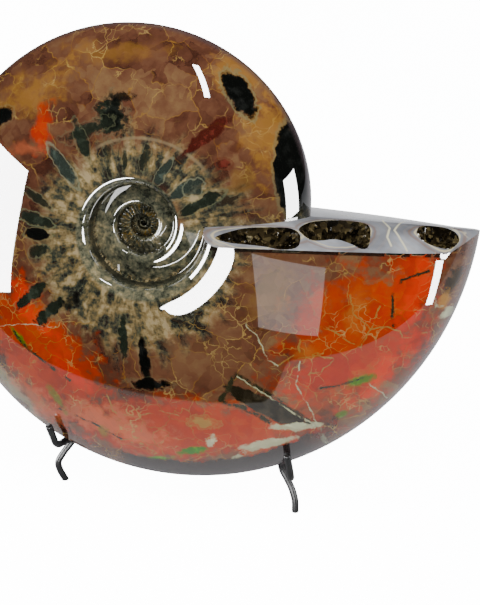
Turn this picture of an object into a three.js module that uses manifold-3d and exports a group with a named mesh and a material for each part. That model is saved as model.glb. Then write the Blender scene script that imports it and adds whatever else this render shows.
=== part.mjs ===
// A polished ammonite, its mouth cut and domed with crystal-lined hollows, leaning on a black wire easel.
// Millimetres, +Z up. The fossil's face looks along -Y, the easel's rear leg runs back along +Y.
// The origin is the middle of the whole object's footprint box, on the surface that the feet stand on.
import * as THREE from "three";
import { mergeVertices } from "three/addons/utils/BufferGeometryUtils.js";
import Module from "manifold-3d";

// Driving dimensions of the shell. Lengths marked as shares are shares of the mouth radius.
const mouthRadius = 184; // from the coil's axis to the keel at the mouth
const growthPerTurn = 2.05; // the keel's radius grows by this in each full turn
const sectionWidth = 0.334; // half thickness is this times the root of the distance in from the keel
const seamShare = 0.18; // where the whorl's section starts, as a share of the keel's radius there
const shoulderShare = 0.09; // width of the rounded shoulder round the navel
const innerFatness = 0.45; // how far the inner whorls keep the outer whorl's thickness
const fullTurn = 2 * Math.PI;

// Ribs, which show as low relief on the whorls inside the navel only.
const ribsPerTurn = 16;
const ribHeight = 0.03;
const ribbedWhorlEnd = -0.6 * fullTurn; // the ribs have faded out here

// The mouth: a domed face, level along the middle, that dips to the keel and to both flanks.
const mouthRise = 0.033;
const mouthDip = 0.01;
const frontDome = 0.064;
const backDome = 0.014;
const mouthOverrun = 0.25; // how far past the mouth the rough whorl is swept before it is cut, radians

// How the fossil stands: it leans back, and is turned a little in its own plane.
const leanBack = THREE.MathUtils.degToRad(15);
const turnInPlane = THREE.MathUtils.degToRad(0.64);
const coilHeight = 168; // of the coil's axis over the surface

// The wire easel.
const wireRadius = 2.1;
const wireSides = 8; // an even number
const restGap = 0.35; // what touches keeps this much air
const supportAngles = { left: 250, right: 300.5 }; // degrees round the coil to the keel's seats in the hooks

const wasm = await Module();
wasm.setup();

// Closed geometry to a solid that can be joined and cut, and back.
function toSolid(geometry) {
  const bare = geometry.index ? geometry.toNonIndexed() : geometry.clone();
  bare.deleteAttribute("normal");
  bare.deleteAttribute("uv");
  const merged = mergeVertices(bare, 1e-4);
  return new wasm.Manifold(
    new wasm.Mesh({
      numProp: 3,
      vertProperties: new Float32Array(merged.attributes.position.array),
      triVerts: new Uint32Array(merged.index.array),
    }),
  );
}

function toGeometry(solid) {
  const mesh = solid.getMesh();
  const positions = new Float32Array(mesh.numVert * 3);
  for (let i = 0; i < mesh.numVert; i++) {
    positions.set(mesh.vertProperties.subarray(i * mesh.numProp, i * mesh.numProp + 3), i * 3);
  }
  const geometry = new THREE.BufferGeometry();
  geometry.setAttribute("position", new THREE.BufferAttribute(positions, 3));
  geometry.setIndex(new THREE.BufferAttribute(new Uint32Array(mesh.triVerts), 1));
  return geometry;
}

// The largest body of a solid, without the empty slivers that joining can leave.
function mainBody(solid) {
  const bodies = solid.decompose();
  bodies.sort((a, b) => b.volume() - a.volume());
  return bodies[0];
}

// A closed solid through rings of the same number of points, with a fan over each end.
function loft(rings) {
  const count = rings[0].length;
  const points = rings.flat();
  const faces = [];
  for (let i = 0; i + 1 < rings.length; i++) {
    for (let j = 0; j < count; j++) {
      const next = (j + 1) % count;
      const a = i * count + j;
      const b = i * count + next;
      faces.push(a, a + count, b, b, a + count, b + count);
    }
  }
  for (const [start, flip] of [[0, false], [(rings.length - 1) * count, true]]) {
    for (let j = 1; j + 1 < count; j++) {
      faces.push(start, start + (flip ? j + 1 : j), start + (flip ? j : j + 1));
    }
  }
  const geometry = new THREE.BufferGeometry().setFromPoints(points);
  geometry.setIndex(faces);
  return geometry;
}

// The coil. Angles run from the mouth's line round the front of the shell, anticlockwise; one turn back is
// the previous whorl. The shell's own frame has the coil's axis along Z, its front at +Z.
const keelRadius = (angle) => mouthRadius * growthPerTurn ** (angle / fullTurn - 1);
const thicknessScale = (angle) =>
  mouthRadius * (innerFatness + (1 - innerFatness) * growthPerTurn ** (angle / fullTurn - 1));
const flankShare = (share) => sectionWidth * Math.sqrt(Math.max(0, 1 - share));

function shoulderRise(share) {
  const t = Math.min(1, Math.max(0, (share - seamShare) / shoulderShare));
  return Math.sqrt(1 - (1 - t) ** 2);
}

// Relief of the ribs: strongest on the open part of an inner whorl, none on the outer whorl.
function ribRelief(angle, share) {
  const along = THREE.MathUtils.smoothstep(ribbedWhorlEnd - angle, 0, 1);
  const across = Math.sin(Math.PI * THREE.MathUtils.clamp((share - 0.2) / 0.24, 0, 1));
  return 1 + ribHeight * along * across * Math.cos(ribsPerTurn * angle);
}

function halfThickness(angle, share) {
  return thicknessScale(angle) * flankShare(share) * shoulderRise(share) * ribRelief(angle, share);
}

// One ring of the whorl: round the dorsal side, out along the front flank, over the keel and back.
function whorlRing(angle, shares) {
  const radius = keelRadius(angle);
  const place = (share, side) =>
    new THREE.Vector3(
      share * radius * Math.cos(angle),
      share * radius * Math.sin(angle),
      side * halfThickness(angle, share),
    );
  const inner = place(seamShare, 0);
  const keel = place(1, 0);
  const back = shares.map((share) => place(share, -1));
  const front = shares.map((share) => place(share, 1)).reverse();
  return [inner, ...back, keel, ...front];
}

function whorlSegment(from, to, steps, shares) {
  const rings = [];
  for (let i = 0; i <= steps; i++) {
    rings.push(whorlRing(from + ((to - from) * i) / steps, shares));
  }
  return toSolid(loft(rings));
}

const outerShares = [0.188, 0.202, 0.226, 0.265, 0.36, 0.49, 0.61, 0.73, 0.83, 0.91, 0.965, 0.993];
const innerShares = [0.189, 0.206, 0.24, 0.3, 0.38, 0.46, 0.8];

// Half the mouth's width at a distance out from the coil's axis; it stays open beyond the keel.
const mouthHalfWidth = (x) => mouthRadius * flankShare(THREE.MathUtils.clamp(x / mouthRadius, 0.02, 0.92));

// The mouth's face as a height over the shell's XZ plane, through the coil's axis.
function mouthHeight(x, z) {
  const share = x / mouthRadius;
  const across = z / mouthHalfWidth(x);
  const dome = z > 0 ? frontDome : backDome;
  return mouthRadius * (mouthRise - mouthDip * share ** 4 - dome * across ** 2);
}

// A block whose underside is the mouth's face, lowered by an offset: what it takes away bares the mouth.
function mouthCutter(offset = 0) {
  const lengthSteps = 14;
  const widthSteps = 8;
  const overhang = 1.25; // how far it reaches past the flanks
  const top = 0.6 * mouthRadius;
  const rings = [];
  for (let i = 0; i <= lengthSteps; i++) {
    const x = mouthRadius * (0.01 + (1.15 * i) / lengthSteps);
    const side = overhang * mouthHalfWidth(x);
    const ring = [new THREE.Vector3(x, top, side), new THREE.Vector3(x, top, -side)];
    for (let j = 0; j <= widthSteps; j++) {
      const z = side * ((2 * j) / widthSteps - 1);
      ring.push(new THREE.Vector3(x, mouthHeight(x, z) - offset, z));
    }
    rings.push(ring);
  }
  return toSolid(loft(rings));
}

// The three hollows of the mouth. Places and half sizes are shares of the mouth radius: x out from the
// coil's axis, z towards the front, depth down into the whorl.
const hollows = [
  { name: "inner", x: 0.362, z: 0.2, wide: 0.124, thick: 0.052, depth: 0.13, lean: 0.24, crystals: 9 },
  { name: "middle", x: 0.582, z: 0.115, wide: 0.1, thick: 0.077, depth: 0.17, lean: 0.24, crystals: 11 },
  { name: "outer", x: 0.88, z: 0.052, wide: 0.062, thick: 0.043, depth: 0.12, lean: 0.25, crystals: 7 },
];

// A hollow's bowl: an egg centred on the mouth's face, drawn in by an inset all round.
function bowl(hollow, inset, segments = 12) {
  const egg = new THREE.SphereGeometry(1, segments, Math.round(segments * 0.7));
  const size = [hollow.wide, hollow.depth, hollow.thick].map((share) => share * mouthRadius - inset);
  egg.scale(...size);
  egg.rotateY(hollow.lean);
  egg.translate(...hollowCentre(hollow));
  return toSolid(egg);
}

function hollowCentre(hollow) {
  const x = hollow.x * mouthRadius;
  const z = hollow.z * mouthRadius;
  return [x, mouthHeight(x, z), z];
}

function buildShell() {
  const halfTurn = Math.PI;
  let shell = whorlSegment(0, halfTurn, 22, outerShares);
  shell = shell.add(
    whorlSegment(halfTurn, fullTurn + mouthOverrun, 26, outerShares).subtract(mouthCutter()),
  );
  const innerSteps = [28, 28, 18, 18, 9, 9];
  innerSteps.forEach((steps, half) => {
    shell = shell.add(whorlSegment(-(half + 1) * halfTurn, -half * halfTurn, steps, innerShares));
  });
  const core = new THREE.SphereGeometry(1, 12, 8);
  const coreAngle = -3 * fullTurn;
  const coreRadius = 0.42 * keelRadius(coreAngle);
  core.scale(coreRadius, coreRadius, 0.93 * halfThickness(coreAngle, 0.25));
  shell = shell.add(toSolid(core));
  for (const hollow of hollows) {
    shell = shell.subtract(bowl(hollow, 0));
  }
  return mainBody(shell);
}

// A repeatable stream of numbers from 0 to 1.
function sequence(seed) {
  let state = seed;
  return () => {
    state = (state * 16807) % 2147483647;
    return state / 2147483647;
  };
}

// The crystals that line one hollow: a thin crust with pointed crystals grown inwards from it.
function buildCrust(hollow, seed) {
  const next = sequence(seed);
  const centre = new THREE.Vector3(...hollowCentre(hollow));
  const size = new THREE.Vector3(hollow.wide, hollow.depth, hollow.thick).multiplyScalar(mouthRadius);
  const skin = bowl(hollow, restGap);
  let crust = skin.subtract(bowl(hollow, Math.min(1.6, 0.3 * size.z), 8));
  for (let i = 0; i < hollow.crystals; i++) {
    const turn = i * 2.39996 + 0.4 * next();
    const down = -0.12 - 0.86 * ((i + 0.5) / hollow.crystals);
    const level = Math.sqrt(1 - down * down);
    const wall = new THREE.Vector3(level * Math.cos(turn), down, level * Math.sin(turn));
    const root = wall.clone().multiply(size).multiplyScalar(0.93);
    const height = size.z * (0.3 + 0.22 * next());
    const crystal = new THREE.ConeGeometry(0.42 * height, height, 4 + (i % 3), 1);
    crystal.translate(0, 0.32 * height, 0);
    const inwards = root.clone().negate().normalize();
    crystal.applyQuaternion(new THREE.Quaternion().setFromUnitVectors(new THREE.Vector3(0, 1, 0), inwards));
    crystal.translate(root.x, root.y, root.z);
    crystal.rotateY(hollow.lean);
    crystal.translate(centre.x, centre.y, centre.z);
    crust = crust.add(toSolid(crystal).intersect(skin));
  }
  crust = crust.subtract(mouthCutter(1.2));
  return mainBody(crust);
}

// From the shell's own frame to the standing one: its front turns to -Y, then it leans back.
const stance = new THREE.Matrix4()
  .makeRotationX(Math.PI / 2 - leanBack)
  .multiply(new THREE.Matrix4().makeRotationZ(turnInPlane));

function keelPoint(degrees) {
  const angle = THREE.MathUtils.degToRad(degrees);
  const radius = keelRadius(angle);
  return new THREE.Vector3(radius * Math.cos(angle), radius * Math.sin(angle), 0).applyMatrix4(stance);
}

// A wire of round section along a smooth path through the points, with its feet cut off flat at the floor.
function wire(points, steps, floorCut = false, radius = wireRadius) {
  const section = new THREE.Shape();
  section.absarc(0, 0, radius, 0, fullTurn, false);
  const path = new THREE.CatmullRomCurve3(points, false, "centripetal");
  const rod = new THREE.ExtrudeGeometry(section, {
    steps,
    curveSegments: wireSides / 2,
    bevelEnabled: false,
    extrudePath: path,
  });
  let solid = toSolid(rod);
  if (floorCut) {
    const floor = new THREE.BoxGeometry(600, 600, 40);
    floor.translate(0, 0, -20);
    solid = solid.subtract(toSolid(floor));
  }
  return solid;
}

// A point behind the shell: along and up are measured in the shell's plane from the coil's axis.
function behindShell(along, up, behind) {
  return new THREE.Vector3(along, up, -behind).applyMatrix4(
    new THREE.Matrix4().makeRotationX(Math.PI / 2 - leanBack),
  ).add(new THREE.Vector3(0, 0, coilHeight));
}

const rodPitch = 2 * wireRadius + restGap; // between two rods that lie side by side
const frameTop = { along: 12, up: 26, behind: 53 };

// Where the keel sits in a hook, in the standing frame.
function seat(side) {
  return keelPoint(supportAngles[side]).add(new THREE.Vector3(0, 0, coilHeight));
}

// The foot, knee and weld of each leg, then its way up behind the shell. The first are measured from the
// seat, to the right, back and up; the others in the shell's plane: along, up and behind.
const legPoints = {
  left: [
    [-2.6, 3.5, -38],
    [-3.9, 3, -33.3],
    [-6.4, 1.6, -25.5],
    [-7, 1.4, -20],
    [-3.6, 4.4, -13.6],
    [0.6, 8.2, -7.8],
  ],
  right: [
    [6.8, -3, -38],
    [6.6, -2.5, -33],
    [5.9, -0.6, -25.5],
    [3.2, 2.2, -19.2],
    [-0.2, 5.2, -14.8],
    [-3.4, 8, -10.7],
  ],
};
const railPoints = {
  left: [[-46.4, -135, 18], [-43.5, -124, 26], [-34, -96, 36.5], [-20, -62, 46.5], [-9, -38, 50.5]],
  right: [[77.5, -137, 19], [72, -124, 27.5], [58, -96, 38.5], [42, -64, 47.5], [26, -36, 52]],
};

function legPath(side) {
  const keel = seat(side);
  const out = side === "left" ? -1 : 1;
  return [
    ...legPoints[side].map((point) => new THREE.Vector3(...point).add(keel)),
    ...railPoints[side].map((point) => behindShell(...point)),
    behindShell(frameTop.along + out * 1.1 * rodPitch, frameTop.up - 22, frameTop.behind),
    behindShell(frameTop.along + out * 0.52 * rodPitch, frameTop.up, frameTop.behind),
  ];
}

// A hook: from its butt on the leg, under the keel, then up in front of the shell.
const hookPoints = {
  left: [
    [1, 5, -4.8],
    [-0.84, -0.6, -2.3],
    [-2.3, -8, -0.2],
    [-3.1, -11.6, 3.2],
    [-3.9, -13.6, 9.5],
    [-5, -16, 17.4],
  ],
  right: [
    [-2.1, 5.5, -7.2],
    [1.24, -0.6, -2.2],
    [3.9, -8, -4.2],
    [4.9, -11.6, -2.2],
    [4.2, -13.4, 5.5],
    [3.1, -16, 15.7],
  ],
};

function hookPath(side) {
  const keel = seat(side);
  return hookPoints[side].map((point) => new THREE.Vector3(...point).add(keel));
}

const group = new THREE.Group();

const materials = {
  shell: new THREE.MeshStandardMaterial({ color: 0x7a3420, roughness: 0.08, metalness: 0 }),
  druse: new THREE.MeshStandardMaterial({ color: 0x1c1a17, roughness: 0.25, metalness: 0.1 }),
  wire: new THREE.MeshStandardMaterial({ color: 0x17181a, roughness: 0.4, metalness: 0.2 }),
};

function addNode(name, solid, material, parent = group) {
  const mesh = new THREE.Mesh(toGeometry(solid), material);
  mesh.name = name;
  parent.add(mesh);
  return mesh;
}

const fossil = new THREE.Group();
fossil.applyMatrix4(new THREE.Matrix4().makeTranslation(0, 0, coilHeight).multiply(stance));
group.add(fossil);
addNode("ammonite", buildShell(), materials.shell, fossil);
hollows.forEach((hollow, i) => {
  addNode("crystal_lining_" + hollow.name, buildCrust(hollow, 71 + 10 * i), materials.druse, fossil);
});

for (const side of ["left", "right"]) {
  addNode(side + "_leg", wire(legPath(side), 36, true), materials.wire);
  addNode(side + "_hook", wire(hookPath(side), 14), materials.wire);
}

// A straight bar across the backs of both legs.
const crossBar = { from: -31, to: 54, up: -70, behind: 51.2 };
const crossBarPath = [crossBar.from, (crossBar.from + crossBar.to) / 2, crossBar.to].map((along) =>
  behindShell(along, crossBar.up, crossBar.behind),
);
addNode("cross_bar", wire(crossBarPath, 2), materials.wire);

// The rear leg, from the easel's top back to the surface.
const rearFootBack = 112;
const rearTop = behindShell(frameTop.along, frameTop.up - 3, frameTop.behind + rodPitch);
const rearLegPath = [
  rearTop,
  rearTop.clone().add(new THREE.Vector3(0, 5, -20)),
  new THREE.Vector3(frameTop.along, rearFootBack - 9, 27),
  new THREE.Vector3(frameTop.along, rearFootBack - 2, 7),
  new THREE.Vector3(frameTop.along, rearFootBack, -4),
];
addNode("rear_leg", wire(rearLegPath, 14, true), materials.wire);

// The origin goes to the middle of the footprint box.
group.updateMatrixWorld(true);
const whole = new THREE.Box3().setFromObject(group, true);
const middle = whole.getCenter(new THREE.Vector3());
group.position.set(-middle.x, -middle.y, -whole.min.z);

export default group;
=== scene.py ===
"""A polished ammonite leaning on a small black wire easel, on a pale floor under soft light."""

from __future__ import annotations

import logging
import math
import random
from dataclasses import dataclass, field
from enum import Enum
from typing import Iterable, Sequence, Union

import bmesh
import bpy
from mathutils import Matrix, Vector


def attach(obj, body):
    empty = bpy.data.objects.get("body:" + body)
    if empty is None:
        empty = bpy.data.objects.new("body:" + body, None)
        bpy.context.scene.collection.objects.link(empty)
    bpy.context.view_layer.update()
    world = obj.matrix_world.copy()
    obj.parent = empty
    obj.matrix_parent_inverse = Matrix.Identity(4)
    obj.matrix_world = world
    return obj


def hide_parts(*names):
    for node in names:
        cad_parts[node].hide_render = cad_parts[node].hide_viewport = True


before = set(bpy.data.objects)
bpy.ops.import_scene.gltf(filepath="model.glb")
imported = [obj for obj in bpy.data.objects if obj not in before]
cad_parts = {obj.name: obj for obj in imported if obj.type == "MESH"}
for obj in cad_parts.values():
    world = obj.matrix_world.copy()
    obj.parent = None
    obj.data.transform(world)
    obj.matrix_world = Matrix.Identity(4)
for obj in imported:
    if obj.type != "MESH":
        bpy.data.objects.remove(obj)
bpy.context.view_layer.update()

log = logging.getLogger("ammonite")

Socket = bpy.types.NodeSocket
# What goes into a socket: another socket, a number, a vector or colour, or a colour's display code.
Value = Union[Socket, float, Sequence[float], str]
Mesh = bmesh.types.BMesh
Vert = bmesh.types.BMVert
Edge = bmesh.types.BMEdge
Face = bmesh.types.BMFace
Point = tuple[float, float]
Place = tuple[float, float, float]
# Where a straight streak starts and ends, and half its width, in shares of the mouth radius.
Part = tuple[Point, Point, float]

TURN = 2.0 * math.pi
MM = 0.001

# How the fossil stands in the frame, as the solids have it.
MOUTH_RADIUS = 184.0 * MM
LEAN_BACK = math.radians(15.0)
TURN_IN_PLANE = math.radians(0.64)
COIL_HEIGHT = 168.0
COIL_MIDDLE = Vector((-27.468, -27.417, COIL_HEIGHT)) * MM
LEAN = Matrix.Rotation(math.pi / 2 - LEAN_BACK, 4, "X")

# The shell's own frame has its front along +Z and its height along +Y; this carries it to the standing one.
STANCE = Matrix.Translation(COIL_MIDDLE) @ LEAN @ Matrix.Rotation(TURN_IN_PLANE, 4, "Z")


def smooth(x: float) -> float:
    """A soft step from 0 to 1."""
    x = min(1.0, max(0.0, x))
    return x * x * (3.0 - 2.0 * x)


def linear(value: int) -> float:
    """One channel of a display colour, from 0 to 255, as a linear one."""
    share = value / 255.0
    return share / 12.92 if share <= 0.04045 else ((share + 0.055) / 1.055) ** 2.4


def srgb(code: str) -> tuple[float, float, float, float]:
    """A linear colour from a six-digit display code."""
    red, green, blue = (linear(int(code[i : i + 2], 16)) for i in (0, 2, 4))
    return (red, green, blue, 1.0)


# Building nodes


class Graph:
    """Adds and links nodes in one node tree with short calls."""

    def __init__(self, tree: bpy.types.NodeTree) -> None:
        """Keeps the node tree of a material, a group or the world."""
        self.tree = tree

    def add(self, kind: str, **settings: object) -> bpy.types.Node:
        """Adds one node.

        Args:
            kind: The node's type name.
            **settings: Attributes to set on it.

        Returns:
            The new node.
        """
        node = self.tree.nodes.new(kind)
        for name, value in settings.items():
            setattr(node, name, value)
        return node

    def feed(self, socket: Socket, value: Value) -> None:
        """Links a socket to another one, or sets its value.

        Args:
            socket: The input socket.
            value: What goes in.
        """
        if isinstance(value, Socket):
            self.tree.links.new(value, socket)
        else:
            socket.default_value = srgb(value) if isinstance(value, str) else value

    def put(self, node: bpy.types.Node, **values: Value) -> bpy.types.Node:
        """Feeds a node's inputs.

        Args:
            node: The node.
            **values: What goes in, by the inputs' names with _ for a space.

        Returns:
            The node.
        """
        for name, value in values.items():
            self.feed(node.inputs[name.replace("_", " ")], value)
        return node

    def math(self, operation: str, *values: Value, clamp: bool = False) -> Socket:
        """Works out a number.

        Args:
            operation: What is done.
            *values: One or two numbers.
            clamp: Whether the result is kept between 0 and 1.

        Returns:
            The number.
        """
        node = self.add("ShaderNodeMath", operation=operation, use_clamp=clamp)
        for socket, value in zip(node.inputs, values):
            self.feed(socket, value)
        return node.outputs[0]

    def plus(self, a: Value, b: Value) -> Socket:
        """The sum of two numbers."""
        return self.math("ADD", a, b)

    def minus(self, a: Value, b: Value) -> Socket:
        """The first number less the second."""
        return self.math("SUBTRACT", a, b)

    def times(self, a: Value, b: Value) -> Socket:
        """The product of two numbers."""
        return self.math("MULTIPLY", a, b)

    def hypotenuse(self, a: Value, b: Value) -> Socket:
        """The root of the sum of two squares."""
        return self.math("SQRT", self.plus(self.times(a, a), self.times(b, b)))

    def vector(self, operation: str, *values: Value, scale: float | None = None) -> Socket:
        """Works out a vector, or a vector's length.

        Args:
            operation: What is done.
            *values: One or two vectors.
            scale: The factor, where the operation is SCALE.

        Returns:
            The vector or the length.
        """
        node = self.add("ShaderNodeVectorMath", operation=operation)
        for socket, value in zip(node.inputs, values):
            self.feed(socket, value)
        if scale is not None:
            self.feed(node.inputs["Scale"], scale)
        return node.outputs["Value" if operation == "LENGTH" else "Vector"]

    def moved(self, place: Value, sway: Value, reach: float) -> Socket:
        """A place moved by a sway, as far as a reach."""
        return self.vector("ADD", place, self.vector("SCALE", sway, scale=reach))

    def turned(self, vector: Value, angle: float, back: bool = False) -> Socket:
        """A vector turned about Z by an angle in radians, or turned back by it."""
        node = self.add("ShaderNodeVectorRotate", rotation_type="Z_AXIS", invert=back)
        return self.put(node, Vector=vector, Angle=angle).outputs[0]

    def split(self, vector: Value) -> bpy.types.NodeOutputs:
        """The X, Y and Z of a vector."""
        return self.put(self.add("ShaderNodeSeparateXYZ"), Vector=vector).outputs

    def joined(self, **parts: Value) -> Socket:
        """A vector from its X, Y and Z; those left out are 0."""
        return self.put(self.add("ShaderNodeCombineXYZ"), **parts).outputs[0]

    def mix(self, factor: Value, a: Value, b: Value) -> Socket:
        """The colour between two.

        Args:
            factor: 0 gives a, 1 gives b.
            a: The first colour.
            b: The second colour.

        Returns:
            The mixed colour.
        """
        node = self.add("ShaderNodeMix", data_type="RGBA", clamp_factor=True)
        for socket, value in zip((node.inputs["Factor"], node.inputs[6], node.inputs[7]), (factor, a, b)):
            self.feed(socket, value)
        return node.outputs[2]

    def lay(self, colour: Value, mask: Value, amount: float, tone: Value) -> Socket:
        """A colour with a tone laid over it where a mask shows, up to an amount."""
        return self.mix(self.times(mask, amount), colour, tone)

    def ramp(self, factor: Value, stops: dict[float, str]) -> Socket:
        """A colour ramp.

        Args:
            factor: Where on the ramp.
            stops: Display codes by their places from 0 to 1.

        Returns:
            The colour.
        """
        node = self.add("ShaderNodeValToRGB")
        elements = node.color_ramp.elements
        while len(elements) < len(stops):
            elements.new(0.5)
        for element, (place, code) in zip(elements, stops.items()):
            element.position = place
            element.color = srgb(code)
        self.feed(node.inputs[0], factor)
        return node.outputs[0]

    def fade(self, value: Value, low: Value, high: Value) -> Socket:
        """0 where the value is at low, 1 at high, softly between; low may be above high."""
        node = self.add("ShaderNodeMapRange", interpolation_type="SMOOTHSTEP")
        return self.put(node, Value=value, From_Min=low, From_Max=high).outputs[0]

    def near(self, value: Value, middle: float, outer: float, inner: float) -> Socket:
        """1 where the value is within the inner distance of a middle, 0 past the outer one."""
        return self.fade(self.math("ABSOLUTE", self.minus(value, middle)), outer, inner)

    def red(self, colour: Value) -> Socket:
        """The red part of a colour, as a plain number."""
        return self.put(self.add("ShaderNodeSeparateColor"), Color=colour).outputs["Red"]

    def clouds(self, place: Value, scale: float, detail: float, rough: float) -> bpy.types.NodeOutputs:
        """The outputs of a noise texture."""
        node = self.add("ShaderNodeTexNoise")
        return self.put(node, Vector=place, Scale=scale, Detail=detail, Roughness=rough).outputs

    def noise(self, place: Value, scale: float, detail: float = 3.0, rough: float = 0.55) -> Socket:
        """Smooth noise between 0 and 1."""
        return self.clouds(place, scale, detail, rough)[0]

    def sway(self, place: Value, scale: float, detail: float = 3.0, rough: float = 0.55) -> Socket:
        """Three smooth noises round zero, as a vector."""
        return self.vector("SUBTRACT", self.clouds(place, scale, detail, rough)["Color"], (0.5, 0.5, 0.5))

    def cells(self, place: Value, scale: Value, feature: str = "F1") -> bpy.types.NodeOutputs:
        """The outputs of a texture of uneven cells."""
        node = self.add("ShaderNodeTexVoronoi", feature=feature)
        return self.put(node, Vector=place, Scale=scale).outputs

    def bump(self, shader: bpy.types.Node, strength: float, distance: float, height: Value) -> None:
        """Makes a shader's surface uneven.

        Args:
            shader: The shader.
            strength: How much of the pattern shows.
            distance: The pattern's depth, in metres.
            height: The pattern.
        """
        node = self.put(self.add("ShaderNodeBump"), Strength=strength, Distance=distance, Height=height)
        self.feed(shader.inputs["Normal"], node.outputs[0])


class NodeGroup:
    """A shared shader node group, made once and placed where it is needed."""

    def __init__(self, name: str, inputs: dict[str, str], outputs: dict[str, str]) -> None:
        """Makes the group with its sockets.

        Args:
            name: The group's name.
            inputs: The socket types going in, by name.
            outputs: The socket types coming out, by name.
        """
        self.tree = bpy.data.node_groups.new(name, "ShaderNodeTree")
        for kind, sockets in (("INPUT", inputs), ("OUTPUT", outputs)):
            for label, socket_type in sockets.items():
                self.tree.interface.new_socket(label, in_out=kind, socket_type=socket_type)
        self.graph = Graph(self.tree)
        self.inputs = self.graph.add("NodeGroupInput").outputs
        self.exit = self.graph.add("NodeGroupOutput")

    def give(self, **values: Value) -> NodeGroup:
        """Feeds the group's outputs by name, and returns the group."""
        self.graph.put(self.exit, **values)
        return self

    def use(self, graph: Graph, **values: Value) -> bpy.types.NodeOutputs:
        """Places the group in a material's graph; its inputs go by name with _ for a space."""
        return graph.put(graph.add("ShaderNodeGroup", node_tree=self.tree), **values).outputs


FLOAT, VECTOR = "NodeSocketFloat", "NodeSocketVector"
NEXT_TO_NOTHING = 1e-6


def plane_group() -> NodeGroup:
    """The shell's own coordinates in shares of the mouth radius, from Object coordinates.

    Returns:
        A group with the place, the place in the coil's plane, and the distance and the way out from the axis.
    """
    group = NodeGroup("shell_plane", {}, {"Place": VECTOR, "Flat": VECTOR, "Radius": FLOAT, "Round": VECTOR})
    g = group.graph
    centred = g.vector("SUBTRACT", g.add("ShaderNodeTexCoord").outputs["Object"], tuple(COIL_MIDDLE))
    lean = g.add("ShaderNodeVectorRotate", rotation_type="EULER_XYZ", invert=True)
    upright = g.put(lean, Vector=centred, Rotation=(math.pi / 2 - LEAN_BACK, 0.0, 0.0)).outputs[0]
    place = g.vector("SCALE", g.turned(upright, TURN_IN_PLANE, back=True), scale=1.0 / MOUTH_RADIUS)
    flat = g.vector("MULTIPLY", place, (1.0, 1.0, 0.0))
    radius, outwards = g.vector("LENGTH", flat), g.vector("NORMALIZE", flat)
    return group.give(Place=place, Flat=flat, Radius=radius, Round=outwards)


def after(g: Graph, across: Value, before: Value) -> Socket:
    """A coordinate that is worked out after an earlier value, so that few values are kept at a time."""
    return g.plus(across, g.times(before, NEXT_TO_NOTHING))


def patch_group() -> NodeGroup:
    """A rounded patch in the shell's plane, worked out after the colour under it.

    Returns:
        A group with a mask of the patch and one of the line round it.
    """
    names = ("Before", "Across", "Up", "Centre Across", "Centre Up", "Length", "Width", "Angle", "Taper")
    names += ("Uneven", "Ragged", "Soft")
    group = NodeGroup("patch", dict.fromkeys(names, FLOAT), {"Mask": FLOAT, "Rim": FLOAT})
    g, given = group.graph, group.inputs
    x = g.minus(after(g, given["Across"], given["Before"]), given["Centre Across"])
    y = g.minus(given["Up"], given["Centre Up"])
    cosine, sine = g.math("COSINE", given["Angle"]), g.math("SINE", given["Angle"])
    along = g.math("DIVIDE", g.plus(g.times(x, cosine), g.times(y, sine)), given["Length"])
    aside = g.math("DIVIDE", g.minus(g.times(y, cosine), g.times(x, sine)), given["Width"])
    narrowing = g.math("MAXIMUM", g.minus(1.0, g.times(along, given["Taper"])), 0.15)
    reach = g.hypotenuse(along, g.math("DIVIDE", aside, narrowing))
    shifted = g.plus(reach, g.times(given["Uneven"], given["Ragged"]))
    mask = g.fade(shifted, 1.0, g.minus(1.0, given["Soft"]))
    return group.give(Mask=mask, Rim=g.near(shifted, 1.0, 0.14, 0.02))


def streak_group() -> NodeGroup:
    """A straight streak between two points of the shell's plane, added to those drawn before it.

    Returns:
        A group with a mask of the streaks.
    """
    names = ("Before", "Across", "Up", "From Across", "From Up", "To Across", "To Up", "Width")
    group = NodeGroup("streak", dict.fromkeys(names, FLOAT), {"Mask": FLOAT})
    g, given = group.graph, group.inputs
    run, climb = g.minus(given["To Across"], given["From Across"]), g.minus(given["To Up"], given["From Up"])
    x = g.minus(after(g, given["Across"], given["Before"]), given["From Across"])
    y = g.minus(given["Up"], given["From Up"])
    whole = g.plus(g.times(run, run), g.times(climb, climb))
    share = g.math("DIVIDE", g.plus(g.times(x, run), g.times(y, climb)), whole, clamp=True)
    away = g.hypotenuse(g.minus(x, g.times(run, share)), g.minus(y, g.times(climb, share)))
    mask = g.fade(away, given["Width"], g.times(given["Width"], 0.3))
    return group.give(Mask=g.math("MAXIMUM", mask, given["Before"]))


def vein_group() -> NodeGroup:
    """Thin cracks healed with pale stone: lines between cells, broken up so that they come and go.

    Returns:
        A group with a mask of the lines.
    """
    sockets = {"Place": VECTOR, "Scale": FLOAT, "Width": FLOAT, "Breaks": FLOAT}
    group = NodeGroup("veins", sockets, {"Lines": FLOAT})
    g, given = group.graph, group.inputs
    bent = g.moved(given["Place"], g.sway(given["Place"], 7.0, 4.0, 0.6), 0.16)
    edge = g.cells(bent, given["Scale"], "DISTANCE_TO_EDGE")
    line = g.fade(edge["Distance"], given["Width"], 0.0)
    here = g.fade(g.noise(given["Place"], 9.0, 2.0), given["Breaks"], g.plus(given["Breaks"], 0.12))
    return group.give(Lines=g.times(line, here))


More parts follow.
